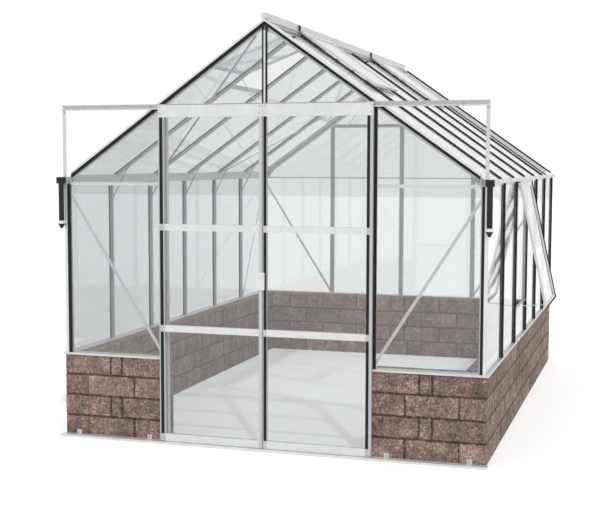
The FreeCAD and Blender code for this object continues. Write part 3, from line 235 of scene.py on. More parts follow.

# %% [markdown]
# ## Glass
# A pane could be a solid that bends light, but it is so thin that nobody would see it, and its
# shadow would be too dark. So a Transparent shader with a faint tint lets lamps and eyes straight
# through, and a mirror is mixed in, more at a flat angle than face on. Layer Weight gives that
# angle, and one ramp each turns it into the tint and the mirror's share. The tint is darkest
# between face on and flat, a painted shade on panes seen at that angle. A slow noise makes the
# shine uneven, as float glass with dust is.

# %% Clear glass
# The tint dips to its darkest between face on and flat: painted shade on those panes.
GLASS_TINT_AND_SHADE = [(0.05, (0.918, 0.924, 0.926)), (0.56, (0.785, 0.794, 0.799)),
              (0.78, (0.940, 0.945, 0.948)), (0.95, (0.950, 0.954, 0.956))]
MIRROR_SHARE = ((0.0, 0.07), (0.60, 0.09), (0.80, 0.18), (0.88, 0.66), (1.0, 1.0))
glass, tree, shader, place = new_finish("clear_glass")
film = noise(tree, place, scale=1.3, detail=3, rough=0.5)
shader.inputs["Base Color"].default_value = (0.93, 0.94, 0.945, 1)
shader.inputs["Metallic"].default_value = 1.0
joined(tree, span(tree, film, 0.006, 0.020), shader.inputs["Roughness"])
edge = add(tree, "ShaderNodeLayerWeight").outputs["Facing"]
through = add(tree, "ShaderNodeBsdfTransparent")
joined(tree, ramp(tree, edge, GLASS_TINT_AND_SHADE), through.inputs["Color"])
blend = add(tree, "ShaderNodeMixShader")
joined(tree, ramp(tree, edge, greys(MIRROR_SHARE)), blend.inputs["Fac"])
joined(tree, through.outputs["BSDF"], blend.inputs[1])
joined(tree, shader.outputs["BSDF"], blend.inputs[2])
joined(tree, blend.outputs["Shader"], tree.nodes["Material Output"].inputs["Surface"])
print("glass:", glass.name)

# %% [markdown]
# ## Split stone
# The wall is of concrete blocks split to look like stone: rust red and grey brown in clouds,
# with pale and dark grains. A picture of stone would repeat along the wall, so layers of noise are
# multiplied instead. Each block gets a number of its own, stored on the mesh as "tint", which
# shifts the clouds and the tone, so that neighbours differ. Towards a joint, which the mesh marks
# as "joint", the stone darkens: dirt, and painted shade where the rounded edge turns into the groove.

# %% Clouds, patches and grains
OWN_SHIFT = (13.0, 17.0, 19.0)
stone, tree, shader, place = new_finish("split_stone")
own = add(tree, "ShaderNodeAttribute", attribute_name="tint").outputs["Fac"]
shift = add(tree, "ShaderNodeVectorMath", operation="MULTIPLY_ADD")
joined(tree, own, shift.inputs[0])
shift.inputs[1].default_value = OWN_SHIFT
joined(tree, place, shift.inputs[2])
block_place = shift.outputs["Vector"]
clouds = noise(tree, block_place, scale=7, detail=5, rough=0.65)
patches = noise(tree, block_place, scale=26, detail=4, rough=0.6)
grains = noise(tree, block_place, scale=78, detail=4, rough=0.72)
pits = noise(tree, block_place, scale=140, detail=3, rough=0.75)
ground = ramp(tree, clouds, [(0.32, (0.164, 0.121, 0.104)), (0.46, (0.242, 0.167, 0.141)),
                             (0.56, (0.314, 0.210, 0.173)), (0.70, (0.380, 0.292, 0.252))])
uneven = ramp(tree, patches, [(0.32, (0.64, 0.66, 0.68)), (0.50, (1.0, 1.0, 1.0)),
                              (0.68, (1.38, 1.35, 1.33))])
speckle = ramp(tree, grains, [(0.33, (0.22, 0.21, 0.21)), (0.46, (0.84, 0.84, 0.84)),
                              (0.55, (1.0, 1.0, 1.0)), (0.68, (2.3, 2.2, 2.1))])
mottled = multiplied(tree, 1.0, multiplied(tree, 1.0, ground, uneven), speckle)
toned = add(tree, "ShaderNodeHueSaturation")
joined(tree, mottled, toned.inputs["Color"])
joined(tree, span(tree, own, 0.82, 1.18, 0, 1), toned.inputs["Value"])
print("stone:", stone.name)

# %% Dirt and painted shade in the joints, and a rough face
deep = add(tree, "ShaderNodeAttribute", attribute_name="joint").outputs["Fac"]
crumbs = noise(tree, block_place, scale=45, detail=3, rough=0.7)
ragged = reckon(tree, "MULTIPLY", deep, span(tree, crumbs, 0.62, 1.30))
# Darker towards a joint: dirt, and painted shade in the groove.
dirt_and_shade = ramp(tree, ragged, [(0.58, (1.0, 1.0, 1.0)), (0.97, (0.24, 0.21, 0.20))])
joined(tree, multiplied(tree, 1.0, toned.outputs["Color"], dirt_and_shade), shader.inputs["Base Color"])
joined(tree, span(tree, pits, 0.80, 0.95), shader.inputs["Roughness"])
relief(tree, shader, reckon(tree, "ADD", grains, patches), distance=0.014, strength=0.8)
print("stone nodes:", len(tree.nodes))

# %% [markdown]
# ## Laying the blocks
# The bond is a rule, so the boxes come from loops. Counted from the top, odd courses have the
# front block running to the corner, even ones the side block. Each box gets grid lines close to
# its edges and an even grid between them; rounding and roughening is left to one node tree for
# all walls.

# %% The bond, course by course
LENGTH, DEPTH, COURSE, COURSES = 0.3736, 0.1868, 0.154, 4
LONG = 12
HALF_WIDTH = 1.567
GAP_HALF, CLOSER = 0.765, 0.090
BACK_LINES = 5
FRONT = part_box("wall_front")[0].y
BACK = FRONT + LONG * LENGTH


def wall_boxes():
    """Boxes of the front, side and back blocks, as lists of (low corner, high corner)."""
    front, sides, back = [], [], []
    for course in range(COURSES):
        low, high = course * COURSE, (course + 1) * COURSE
        corner_first = (COURSES - course) % 2 == 1
        start = -HALF_WIDTH if corner_first else DEPTH - HALF_WIDTH
        cuts = [LENGTH, LENGTH + CLOSER] if corner_first else [LENGTH]
        cuts = [start] + [start + cut for cut in cuts] + [-GAP_HALF]
        for x0, x1 in zip(cuts, cuts[1:]):
            for a, b in ((x0, x1), (-x1, -x0)):
                front.append(((a, FRONT, low), (b, FRONT + DEPTH, high)))
        count = LONG - 1 if corner_first else LONG
        first = FRONT + DEPTH if corner_first else FRONT
        pitch = (BACK - FRONT - 2 * DEPTH) / count if corner_first else LENGTH
        for k in range(count):
            for x in (-HALF_WIDTH, HALF_WIDTH - DEPTH):
                sides.append(((x, first + k * pitch, low), (x + DEPTH, first + (k + 1) * pitch, high)))
        right_lines = BACK_LINES if corner_first else BACK_LINES - 1
        rows = [start + k * LENGTH for k in range(BACK_LINES)]
        rows += [-start - k * LENGTH for k in reversed(range(right_lines))]
        for x0, x1 in zip(rows, rows[1:]):
            back.append(((x0, BACK - DEPTH, low), (x1, BACK, high)))
    return front, sides, back


front_boxes, side_boxes, back_boxes = wall_boxes()
print("blocks:", len(front_boxes), len(side_boxes), len(back_boxes))

# %% Boxes with a grid on each face
EDGE = 0.010
CELL_FACE, CELL_DEEP = 0.021, 0.033


def grid_lines(low, high, cell):
    """Positions along one side: the edge, a line just inside it, and an even grid between."""
    inner = [low + EDGE, high - EDGE]
    steps = max(2, round((inner[1] - inner[0]) / cell))
    return [low] + [inner[0] + (inner[1] - inner[0]) * k / steps for k in range(steps + 1)] + [high]


def grid_box(low, high, verts, faces):
    """Add a box of grid faces, pointing outwards, with shared points along its edges."""
    long_x = high[0] - low[0] >= high[1] - low[1]
    cells = (CELL_FACE, CELL_DEEP, CELL_FACE) if long_x else (CELL_DEEP, CELL_FACE, CELL_FACE)
    lines = [grid_lines(a, b, c) for a, b, c in zip(low, high, cells)]
    counts = [len(line) for line in lines]
    seen = {}

    def point(i):
        if i not in seen:
            seen[i] = len(verts)
            verts.append(tuple(line[k] for line, k in zip(lines, i)))
        return seen[i]

    for axis in range(3):
        u, v = (axis + 1) % 3, (axis + 2) % 3
        for end in (0, counts[axis] - 1):
            for a in range(counts[u] - 1):
                for b in range(counts[v] - 1):
                    ring = []
                    for da, db in ((0, 0), (1, 0), (1, 1), (0, 1)):
                        i = [0, 0, 0]
                        i[axis], i[u], i[v] = end, a + da, b + db
                        ring.append(point(tuple(i)))
                    faces.append(ring if end else ring[::-1])


print("grid lines along a block:", len(grid_lines(0, LENGTH, CELL_FACE)))

# %% Which faces show
SAME = 1e-5


def lies_at(value, *places):
    return any(abs(value - place) < SAME for place in places)


def face_kinds(point, low, high, thick):
    """Which kinds of face a point of a block lies on: split, in a joint, or neither."""
    x, y, z = abs(point[0]), point[1], point[2]
    in_corner = x > HALF_WIDTH - DEPTH - SAME and not FRONT + DEPTH + SAME < y < BACK - DEPTH - SAME
    outer = lies_at(x, HALF_WIDTH) or lies_at(y, FRONT, BACK)
    kinds = set()
    for axis in range(3):
        if not lies_at(point[axis], low[axis], high[axis]):
            continue
        if axis == 2:
            kinds.add("plain" if lies_at(z, 0, COURSES * COURSE) else "joint")
        elif axis == thick:
            kinds.add("plain" if in_corner and not outer else "split")
        else:
            ends = lies_at(x, HALF_WIDTH, GAP_HALF) if axis == 0 else lies_at(y, FRONT, BACK)
            kinds.add("split" if ends else "joint")
    return kinds


print("the first corner lies on:", sorted(face_kinds(front_boxes[0][0], *front_boxes[0], thick=1)))

# %% The mesh of a wall


def block_mesh(name, boxes, seed):
    """One mesh of grid boxes; each point knows its block's middle, half size, tint and faces."""
    rng = random.Random(seed)
    verts, faces, middles, halves, tints, kinds = [], [], [], [], [], []
    thick = 0 if "sides" in name else 1
    for low, high in boxes:
        before = len(verts)
        grid_box(low, high, verts, faces)
        added = len(verts) - before
        middles += [[(a + b) / 2 for a, b in zip(low, high)]] * added
        halves += [[(b - a) / 2 for a, b in zip(low, high)]] * added
        tints += [rng.random()] * added
        kinds += [face_kinds(point, low, high, thick) for point in verts[before:]]
    mesh = bpy.data.meshes.new(name)
    mesh.from_pydata(verts, [], faces)
    for label, rows in (("middle", middles), ("half", halves)):
        layer = mesh.attributes.new(label, "FLOAT_VECTOR", "POINT")
        layer.data.foreach_set("vector", [value for row in rows for value in row])
    rows = {"tint": tints, "split": [float("split" in kind) for kind in kinds],
            "joint": [float("joint" in kind) for kind in kinds]}
    for label, row in rows.items():
        mesh.attributes.new(label, "FLOAT", "POINT").data.foreach_set("value", row)
    return mesh


walls = {}
for name, boxes, seed in (("wall_front", front_boxes, 3), ("wall_sides", side_boxes, 8),
                          ("wall_back", back_boxes, 12)):
    walls[name] = block_mesh(name + "_blocks", boxes, seed)
    print(name, "points", len(walls[name].vertices))

# %% [markdown]
# ## Rounding and splitting with Geometry Nodes
# The real blocks have worn edges and rough faces, where they were split. A Bevel modifier could
# round the edges, but one tree rounds and splits at once, and its sizes are inputs. To round a
# box, clamp each point to a smaller box inside and set it back out by the edge radius: flat faces
# stay flat and edges become round. Then a noise, moved by the block's tint, pushes each point of
# a face that shows in along its normal, so no block grows. A face in a joint only steps back by
# a hair: the joints stay shut, and no light comes through.

# %% Helpers for geometry trees


def node_tree(name, inputs):
    """A geometry tree with one geometry in, one out, and named inputs for its sizes."""
    tree = bpy.data.node_groups.new(name, "GeometryNodeTree")
    tree.interface.new_socket("Geometry", in_out="INPUT", socket_type="NodeSocketGeometry")
    tree.interface.new_socket("Geometry", in_out="OUTPUT", socket_type="NodeSocketGeometry")
    for label, kind, value in inputs:
        socket = tree.interface.new_socket(label, in_out="INPUT", socket_type=kind)
        if value is not None:
            socket.default_value = value
    return tree, tree.nodes.new("NodeGroupInput"), tree.nodes.new("NodeGroupOutput")


def vector_math(tree, operation, *values):
    """One step on vectors; the second value of a scale is a number."""
    node = add(tree, "ShaderNodeVectorMath", operation=operation)
    second = node.inputs["Scale"] if operation == "SCALE" else node.inputs[1]
    for value, socket in zip(values, (node.inputs[0], second)):
        joined(tree, value, socket)
    return node.outputs["Vector"]


def field(tree, name, kind):
    """The numbers that the mesh keeps under a name."""
    return add(tree, "GeometryNodeInputNamedAttribute", data_type=kind,
               Name=name).outputs["Attribute"]


def ended(tree, geometry, inside, outside):
    """End a tree with plain geometry in the material that its inputs give."""
    whole = add(tree, "GeometryNodeRealizeInstances")
    joined(tree, geometry, whole.inputs["Geometry"])
    paint = add(tree, "GeometryNodeSetMaterial")
    joined(tree, whole.outputs["Geometry"], paint.inputs["Geometry"])
    joined(tree, inside.outputs["Material"], paint.inputs["Material"])
    joined(tree, paint.outputs["Geometry"], outside.inputs["Geometry"])
    print(tree.name, "nodes", len(tree.nodes))


print("kit for geometry: node_tree, vector_math, field, ended")

# %% Round the boxes
split, inside, outside = node_tree("split_blocks", [
    ("Edge", "NodeSocketFloat", EDGE),
    ("Relief", "NodeSocketFloat", 0.012),
    ("Grain", "NodeSocketFloat", 20.0),
    ("Gap", "NodeSocketFloat", 0.0002),
    ("Seed", "NodeSocketFloat", 5.0),
    ("Material", "NodeSocketMaterial", None),
])
where = add(split, "GeometryNodeInputPosition").outputs["Position"]
middle, half = field(split, "middle", "FLOAT_VECTOR"), field(split, "half", "FLOAT_VECTOR")
local = vector_math(split, "SUBTRACT", where, middle)
radius = add(split, "ShaderNodeCombineXYZ")
for socket in radius.inputs:
    joined(split, inside.outputs["Edge"], socket)
core = vector_math(split, "SUBTRACT", half, radius.outputs["Vector"])
minus = vector_math(split, "SCALE", core, -1.0)
kept = vector_math(split, "MINIMUM", vector_math(split, "MAXIMUM", local, minus), core)
out = vector_math(split, "NORMALIZE", vector_math(split, "SUBTRACT", local, kept))
pushed = vector_math(split, "SCALE", out, inside.outputs["Edge"])
rounded = vector_math(split, "ADD", vector_math(split, "ADD", middle, kept), pushed)
round_step = add(split, "GeometryNodeSetPosition")
joined(split, inside.outputs["Geometry"], round_step.inputs["Geometry"])
joined(split, rounded, round_step.inputs["Position"])
print("rounding nodes:", len(split.nodes))

# %% Split the faces that show
SEED_STEP = 40.0
moved = reckon(split, "MULTIPLY_ADD", field(split, "tint", "FLOAT"), SEED_STEP, inside.outputs["Seed"])
chips = add(split, "ShaderNodeTexNoise", noise_dimensions="4D", Detail=3.0, Roughness=0.6)
joined(split, moved, chips.inputs["W"])
joined(split, inside.outputs["Grain"], chips.inputs["Scale"])
depth = reckon(split, "MULTIPLY", chips.outputs["Fac"], inside.outputs["Relief"])
bare = reckon(split, "MULTIPLY", depth, field(split, "split", "FLOAT"))
apart = reckon(split, "MULTIPLY_ADD", field(split, "joint", "FLOAT"), inside.outputs["Gap"], bare)
inward = reckon(split, "MULTIPLY", apart, -1.0)
step = vector_math(split, "SCALE", add(split, "GeometryNodeInputNormal").outputs["Normal"], inward)
split_step = add(split, "GeometryNodeSetPosition")
joined(split, round_step.outputs["Geometry"], split_step.inputs["Geometry"])
joined(split, step, split_step.inputs["Offset"])
ended(split, split_step.outputs["Geometry"], inside, outside)

# %% Run a tree and keep the plain mesh


def grown(name, mesh, tree, values, body):
    """Run a node tree on a mesh and keep the result as a plain piece of one body."""
    piece = put(name, mesh)
    modifier = piece.modifiers.new(name, "NODES")
    modifier.node_group = tree
    for item in tree.interface.items_tree:
        if item.item_type == "SOCKET" and item.in_out == "INPUT" and item.name in values:
            modifier[item.identifier] = values[item.name]
    view = bpy.context.evaluated_depsgraph_get()
    done = bpy.data.meshes.new_from_object(piece.evaluated_get(view))
    piece.modifiers.clear()
    piece.data = done
    piece.data.name = name
    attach(piece, body)
    print(name, "faces", len(done.polygons))
    return piece


for name, laid in walls.items():
    wall = grown(name + "_stone", laid, split, {"Material": stone}, "house")
    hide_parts(name)

# %% [markdown]
# ## Finishes for the pieces that keep their shape
# Bars, panes, strips and doors already have the right form, so they only change material, which
# is set as the one slot of each node's mesh. Panes are known by their names, a table gives the
# pieces of the other finishes, and what it doesn't name is drawn aluminium. The walls and two
# pieces that are made anew below are passed over.

# %% Give every kept node its finish
REMADE = ("roof_strips", "door_handle")
FINISHES = (
    # The first two rows take the aluminium with painted shade.
    (shade_aluminium, ("door_track", "track_struts", "gutters", "ridge_beam", "joint_strips", "sills",
             "roof_bars", "door_posts")),
    (deep_shade_aluminium, ("side_bars", "knee_braces", "roof_braces", "corner_gussets", "opening_trimmers",
            "back_posts", "back_transoms")),
    (doors, ("door_left_frame", "door_right_frame")),
    (rubber, ("side_strips", "front_seals", "back_seals", "door_left_gaskets", "door_right_gaskets",
              "window_seal")),
    (black, ("downpipes", "pipe_nozzles", "roller_left_inner", "roller_left_outer",
             "roller_right_inner", "roller_right_outer")),
    (white, ("pipe_clips",)),
)


def finish_of(name):
    if "glass" in name:
        return glass
    for finish, names in FINISHES:
        if name in names:
            return finish
    return aluminium


counts = {}
for name, piece in nodes.items():
    if name in walls or name in REMADE:
        continue
    finish = finish_of(name)
    piece.data.materials.clear()
    piece.data.materials.append(finish)
    counts[finish.name] = counts.get(finish.name, 0) + 1
print("finishes:", counts)

# %% [markdown]
# ## Roof strips pressed on the panes
# On the roof the black strips lie flatter than on the walls, pressed down on the glass. They could
# be drawn anew, but a merged copy of the node's mesh keeps every strip's length and width, and
# only its crown moves: each point that an edge ties to the glass side comes down along the
# slope's normal.

# %% Press the strips flat
ROOF_SLOPE = math.radians(35.2)
SLOPE_SIN, SLOPE_COS = math.sin(ROOF_SLOPE), math.cos(ROOF_SLOPE)
PRESS = 0.36
TOUCH = 0.001
MERGE = 0.00001


def above_slope(point):
    return abs(point.x) * SLOPE_SIN + point.z * SLOPE_COS


form = bmesh.new()
form.from_mesh(nodes["roof_strips"].data)
bmesh.ops.remove_doubles(form, verts=form.verts, dist=MERGE)
pane_level = min(above_slope(point.co) for point in form.verts)
feet = [point for point in form.verts if above_slope(point.co) < pane_level + TOUCH]
crowns = {edge.other_vert(foot) for foot in feet for edge in foot.link_edges} - set(feet)
for point in crowns:
    drop = (above_slope(point.co) - pane_level) * PRESS
    point.co -= Vector((math.copysign(SLOPE_SIN, point.co.x), 0, SLOPE_COS)) * drop
flat_mesh = bpy.data.meshes.new("roof_strips_flat")
form.to_mesh(flat_mesh)
form.free()
flat_mesh.materials.append(rubber)
flat_strips = put("roof_strips_flat", flat_mesh)
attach(flat_strips, "house")
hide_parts("roof_strips")
print("strips pressed: feet", len(feet), "crowns", len(crowns))

# %% [markdown]
# ## Screws
# Braces, knees, gussets, struts and plates are held by small hexagon screws with a washer. Each
# could be modelled in its place, but they are all alike, so a node tree sets one shape on many
# points, and each point knows the direction that its screw looks. The spots are worked out from
# the pieces: a strip has one at each end.

# %% Solids of a node, and a screw on a plate
END_SLICE = 0.001
spots = {"house": [], "door_left": [], "door_right": []}


def solids_of(name):
    """The separate solids of a node, each as a list of its points."""
    mesh = nodes[name].data
    keys = [tuple(round(value, 5) for value in vertex.co) for vertex in mesh.vertices]
    home = {key: key for key in keys}

    def root(key):
        while home[key] != key:
            key = home[key]
        return key

    for edge in mesh.edges:
        home[root(keys[edge.vertices[0]])] = root(keys[edge.vertices[1]])
    groups = {}
    for key in home:
        groups.setdefault(root(key), []).append(Vector(key))
    return list(groups.values())


def middle_of(points):
    return sum(points, Vector()) / len(points)


def strip_ends(points, inset):
    """Spots near the low and the high end of a slanted strip."""
    heights = [p.z for p in points]
    low = middle_of([p for p in points if p.z < min(heights) + END_SLICE])
    high = middle_of([p for p in points if p.z > max(heights) - END_SLICE])
    along = (high - low).normalized()
    return [low + along * inset, high - along * inset]


def screw_on(points, spot, facing, gap=0.0):
    """Put a screw of the house on the side of a plate that looks the given way."""
    reach = max(p.dot(facing) for p in points) + gap
    spots["house"].append((spot + facing * (reach - spot.dot(facing)), facing))


print("knee braces:", len(solids_of("knee_braces")))

# %% Screws of knees and braces
FORWARD, BACKWARD = Vector((0, -1, 0)), Vector((0, 1, 0))
UNDER_LEFT_SLOPE = Vector((SLOPE_SIN, 0, -SLOPE_COS))
KNEE_INSET, BAR_WEB = 0.010, 0.004
WALL_BRACE_INSET, ROOF_BRACE_INSET = 0.018, 0.020
GABLE_THIN, FRONT_HALF = 0.01, 1.0
for points in solids_of("knee_braces"):
    for spot in strip_ends(points, KNEE_INSET):
        screw_on(points, spot, BACKWARD)
        screw_on(points, spot, FORWARD, BAR_WEB)
for points in solids_of("wall_braces"):
    middle = middle_of(points)
    deep = max(p.y for p in points) - min(p.y for p in points)
    to_room = Vector((-1 if middle.x > 0 else 1, 0, 0))
    if deep < GABLE_THIN:
        to_room = BACKWARD if middle.y < FRONT_HALF else FORWARD
    for spot in strip_ends(points, WALL_BRACE_INSET):
        screw_on(points, spot, to_room)
for points in solids_of("roof_braces"):
    for spot in strip_ends(points, ROOF_BRACE_INSET):
        screw_on(points, spot, UNDER_LEFT_SLOPE)
print("screws of knees and braces:", len(spots["house"]))

# %% Screws of gussets, struts, brackets and track
GUSSET_REACH = 0.6
STRUT_INSET, BRACKET_INSET, STRUT_ABOVE = 0.014, 0.009, 1.0
TRACK_SPOTS, TRACK_FACE = (0.86, 1.12, 1.38), 0.003
for points in solids_of("corner_gussets"):
    middle = middle_of(points)
    for tip in (min(points, key=lambda p: p.z), max(points, key=lambda p: p.z),
                max(points, key=lambda p: abs(p.x) + p.z)):
        screw_on(points, middle.lerp(tip, GUSSET_REACH), BACKWARD if middle.y < FRONT_HALF else FORWARD)
for points in solids_of("track_struts") + solids_of("rail_brackets"):
    inset = STRUT_INSET if max(p.z for p in points) > STRUT_ABOVE else BRACKET_INSET
    for spot in strip_ends(points, inset):
        screw_on(points, spot, FORWARD)
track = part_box("door_track")
track_middle = (track[0].z + track[1].z) / 2
for x in TRACK_SPOTS:
    for side in (-1, 1):
        spots["house"].append((Vector((side * x, track[1].y - TRACK_FACE, track_middle)), FORWARD))
print("screws of the house:", len(spots["house"]))

# %% Screws of the doors
COVER_SPOTS, COVER_DROPS = (0.020, 0.768), (0.013, 0.062)
for body, side in (("door_left", -1), ("door_right", 1)):
    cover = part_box(body + "_frame")
    for x in COVER_SPOTS:
        for drop in COVER_DROPS:
            spots[body].append((Vector((side * x, cover[0].y, cover[1].z - drop)), FORWARD))
print("screws:", {body: len(rows) for body, rows in spots.items()})

# %% A washer and a head
WASHER_CORNERS, HEAD_CORNERS = 16, 6
screwed, inside, outside = node_tree("set_screws", [
    ("Washer", "NodeSocketFloat", 0.0065),
    ("Washer height", "NodeSocketFloat", 0.0012),
    ("Head", "NodeSocketFloat", 0.0045),
    ("Head height", "NodeSocketFloat", 0.0035),
    ("Seed", "NodeSocketInt", 4),
    ("Material", "NodeSocketMaterial", None),
])


def drum(tree, corners, radius, height, lift):
    """A flat drum that stands on the ground, or higher if lifted."""
    body = add(tree, "GeometryNodeMeshCylinder", Vertices=corners)
    joined(tree, radius, body.inputs["Radius"])
    joined(tree, height, body.inputs["Depth"])
    up = add(tree, "ShaderNodeCombineXYZ")
    joined(tree, reckon(tree, "MULTIPLY_ADD", height, 0.5, lift), up.inputs["Z"])
    moved = add(tree, "GeometryNodeTransform")
    joined(tree, body.outputs["Mesh"], moved.inputs["Geometry"])
    joined(tree, up.outputs["Vector"], moved.inputs["Translation"])
    return moved.outputs["Geometry"]


sizes = inside.outputs
screw = add(screwed, "GeometryNodeJoinGeometry")
washer = drum(screwed, WASHER_CORNERS, sizes["Washer"], sizes["Washer height"], 0.0)
head = drum(screwed, HEAD_CORNERS, sizes["Head"], sizes["Head height"], sizes["Washer height"])
for shape in (washer, head):
    joined(screwed, shape, screw.inputs["Geometry"])
print("screw nodes:", len(screwed.nodes))

# %% Set the screws on their points
aim = add(screwed, "FunctionNodeAlignRotationToVector", axis="Z")
joined(screwed, field(screwed, "facing", "FLOAT_VECTOR"), aim.inputs["Vector"])
spin = add(screwed, "FunctionNodeRandomValue", data_type="FLOAT")
joined(screwed, sizes["Seed"], spin.inputs["Seed"])
around = add(screwed, "FunctionNodeAxisAngleToRotation")
joined(screwed, spin.outputs[1], around.inputs["Angle"])
turned = add(screwed, "FunctionNodeRotateRotation", rotation_space="LOCAL")
joined(screwed, aim.outputs["Rotation"], turned.inputs["Rotation"])
joined(screwed, around.outputs["Rotation"], turned.inputs["Rotate By"])
placed = add(screwed, "GeometryNodeInstanceOnPoints")
joined(screwed, sizes["Geometry"], placed.inputs["Points"])
joined(screwed, screw.outputs["Geometry"], placed.inputs["Instance"])
joined(screwed, turned.outputs["Rotation"], placed.inputs["Rotation"])
ended(screwed, placed.outputs["Instances"], inside, outside)

# %% One piece of screws per body
for body, rows in spots.items():
    marks = bpy.data.meshes.new(body + "_screw_marks")
    marks.from_pydata([spot for spot, facing in rows], [], [])
    layer = marks.attributes.new("facing", "FLOAT_VECTOR", "POINT")
    layer.data.foreach_set("vector", [value for spot, facing in rows for value in facing])
    screws = grown(body + "_screws", marks, screwed, {"Material": zinc}, body)

# %% [markdown]
# ## A lip on the window, stops at the ridge and a pull on the door
# The sash carries a raised black lip along its far and its lower edge, and at the front end of
# each vent a small black stop sits beside the ridge cap. The left door has a pull that laps over
# the meeting line, clear of the gasket. They could be put together from boxes, but each is a
# prism, an outline in a plane that is pushed along a direction, so one helper makes them all
# without inner faces.

# %% Lip of the window, and prisms from an outline
LIP_WIDE, LIP_HIGH = 0.004, 0.006


def prism(name, outlines, push, body, finish):
    """One piece of prisms; each outline runs anticlockwise as seen from where it is pushed to."""
    verts, faces = [], []
    for outline in outlines:
        first, count = len(verts), len(outline)
        verts += outline + [point + push for point in outline]
        ring = list(range(first, first + count))
        faces += [ring[::-1], [k + count for k in ring]]
        faces += [[a, b, b + count, a + count] for a, b in zip(ring, ring[1:] + ring[:1])]
    mesh = bpy.data.meshes.new(name)
    mesh.from_pydata(verts, [], faces)
    mesh.materials.append(finish)
    piece = put(name, mesh)
    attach(piece, body)
    print(name, "faces", len(faces))
    return piece


seal = [vertex.co.copy() for vertex in nodes["window_seal"].data.vertices]
top = max(seal, key=lambda p: (round(p.z, 5), p.x))
foot = max(seal, key=lambda p: (round(p.x, 5), -p.z))
down = Vector((foot.x - top.x, 0, foot.z - top.z))
length = down.length
down.normalize()
outward = Vector((-down.z, 0, down.x))
near, far = min(p.y for p in seal), max(p.y for p in seal)
inner = length - LIP_WIDE
lip = [Vector((top.x, y, top.z)) + down * along for y, along in (
    (far, 0), (far - LIP_WIDE, 0), (far - LIP_WIDE, inner), (near, inner), (near, length), (far, length))]
prism("window_lip", [lip], outward * LIP_HIGH, "window", rubber)

# %% Stops of the vents
STOP_LONG, STOP_WIDE, STOP_LOW, STOP_DROP, STOP_GAP = 0.026, 0.010, 0.054, 0.006, 0.002
CAP_HALF = 0.0203
cap_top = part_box("ridge_beam")[1].z
low, high = cap_top - STOP_LOW, cap_top - STOP_DROP
stops = []
for vent, side in (("vent_left", -1), ("vent_right_front", 1), ("vent_right_rear", 1)):
    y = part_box(vent + "_frame")[0].y - STOP_LONG - STOP_GAP
    left, right = sorted((side * CAP_HALF, side * (CAP_HALF + STOP_WIDE)))
    rows = [(left, low), (right, low), (right, high), (left, high)]
    stops.append([Vector((x, y + STOP_LONG, z)) for x, z in rows])
prism("vent_stops", stops, Vector((0, -STOP_LONG, 0)), "house", black)

# %% Pull of the left door
PULL_RIGHT, PULL_LIP, PULL_SLANT, PULL_PLATE, GASKET_GAP = 0.0165, 0.010, 0.002, 0.0056, 0.0006
low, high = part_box("door_handle")
gasket_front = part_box("door_right_gaskets")[0].y - GASKET_GAP
plate_front = high.y - PULL_PLATE
lip_left = PULL_RIGHT - PULL_LIP
profile = [(low.x, plate_front), (lip_left, plate_front), (lip_left + PULL_SLANT, low.y), (PULL_RIGHT, low.y),
           (PULL_RIGHT, gasket_front), (high.x, gasket_front), (high.x, high.y), (low.x, high.y)]
outline = [Vector((x, y, low.z)) for x, y in profile]
pull = prism("door_pull", [outline], Vector((0, 0, high.z - low.z)), "door_left", coated)
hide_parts("door_handle")

# %% [markdown]
# ## Floor, light and camera
# A pale floor and a white world make the plain background. For sight lines, also those that come
# by a mirror or through glass, the world is plain white and the floor glows a little; as light
# they are softer, so that the metal keeps its shading. A sun from the front right adds shadows
# with a soft edge.

# %% Floor
FLOOR = 60.0
FLOOR_GLOW = 0.26


def sight_lines(tree):
    """1 for a ray that the camera sees, also by a mirror or through glass, and 0 for light."""
    path = add(tree, "ShaderNodeLightPath").outputs
    seen = reckon(tree, "MAXIMUM", path["Is Camera Ray"], path["Is Glossy Ray"])
    return reckon(tree, "MAXIMUM", seen, path["Is Transmission Ray"])


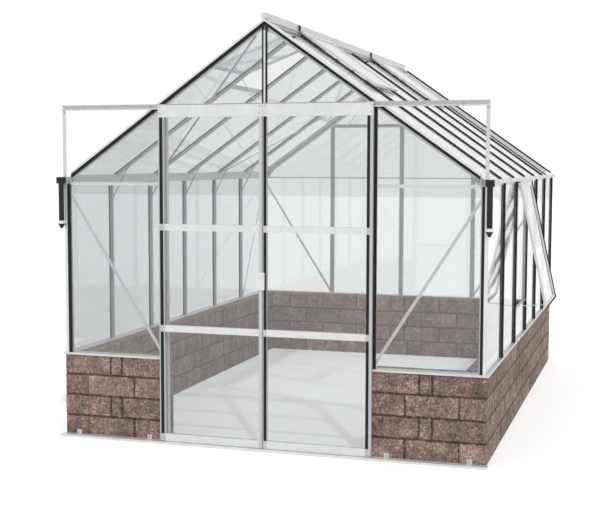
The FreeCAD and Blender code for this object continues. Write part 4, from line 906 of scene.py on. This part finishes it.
floor_mesh = bpy.data.meshes.new("floor")
corners = [(-FLOOR, -FLOOR, 0), (FLOOR, -FLOOR, 0), (FLOOR, FLOOR, 0), (-FLOOR, FLOOR, 0)]
floor_mesh.from_pydata(corners, [], [(0, 1, 2, 3)])
floor = put("floor", floor_mesh)
floor_paint, tree, shader, place = new_finish("pale_floor")
cloud = noise(tree, place, scale=2, detail=3, rough=0.5)
joined(tree, ramp(tree, cloud, greys(((0.3, 0.80), (0.7, 0.82)))), shader.inputs["Base Color"])
shader.inputs["Roughness"].default_value = 0.9
shader.inputs["Emission Color"].default_value = (1, 1, 1, 1)
joined(tree, reckon(tree, "MULTIPLY", sight_lines(tree), FLOOR_GLOW), shader.inputs["Emission Strength"])
floor_mesh.materials.append(floor_paint)
print("floor:", FLOOR)

# %% World
WORLD_LIGHT, WORLD_SEEN = 0.78, 1.0
world = bpy.data.worlds.new("white_room")
bpy.context.scene.world = world
world.use_nodes = True
tree = world.node_tree
sky = tree.nodes["Background"]
sky.inputs["Color"].default_value = (1, 1, 1, 1)
joined(tree, span(tree, sight_lines(tree), WORLD_LIGHT, WORLD_SEEN, 0, 1), sky.inputs["Strength"])
print("world:", world.name)

# %% Sun
SUN_TOWARDS = Vector((-1.15, 2.1, -3.0))
sun_light = bpy.data.lights.new("sun", "SUN")
sun_light.energy = 1.3
sun_light.angle = math.radians(2.5)
sun = put("sun", sun_light)
sun.rotation_euler = SUN_TOWARDS.to_track_quat("-Z", "Y").to_euler()
print("sun:", sun_light.energy)

# %% Camera
camera_lens = bpy.data.cameras.new("camera")
camera_lens.sensor_fit = "HORIZONTAL"
camera_lens.sensor_width = 36.0
camera_lens.lens = 69.49
camera_lens.shift_x = 0.0023
camera_lens.shift_y = 0.0011
camera = put("camera", camera_lens)
camera.location = (2.6287, -7.5741, 2.0235)
camera.rotation_euler = (math.radians(85.3212), math.radians(-0.1238), math.radians(17.3694))
bpy.context.scene.camera = camera
bpy.context.scene.view_settings.view_transform = "Standard"
print("camera:", tuple(camera.location))
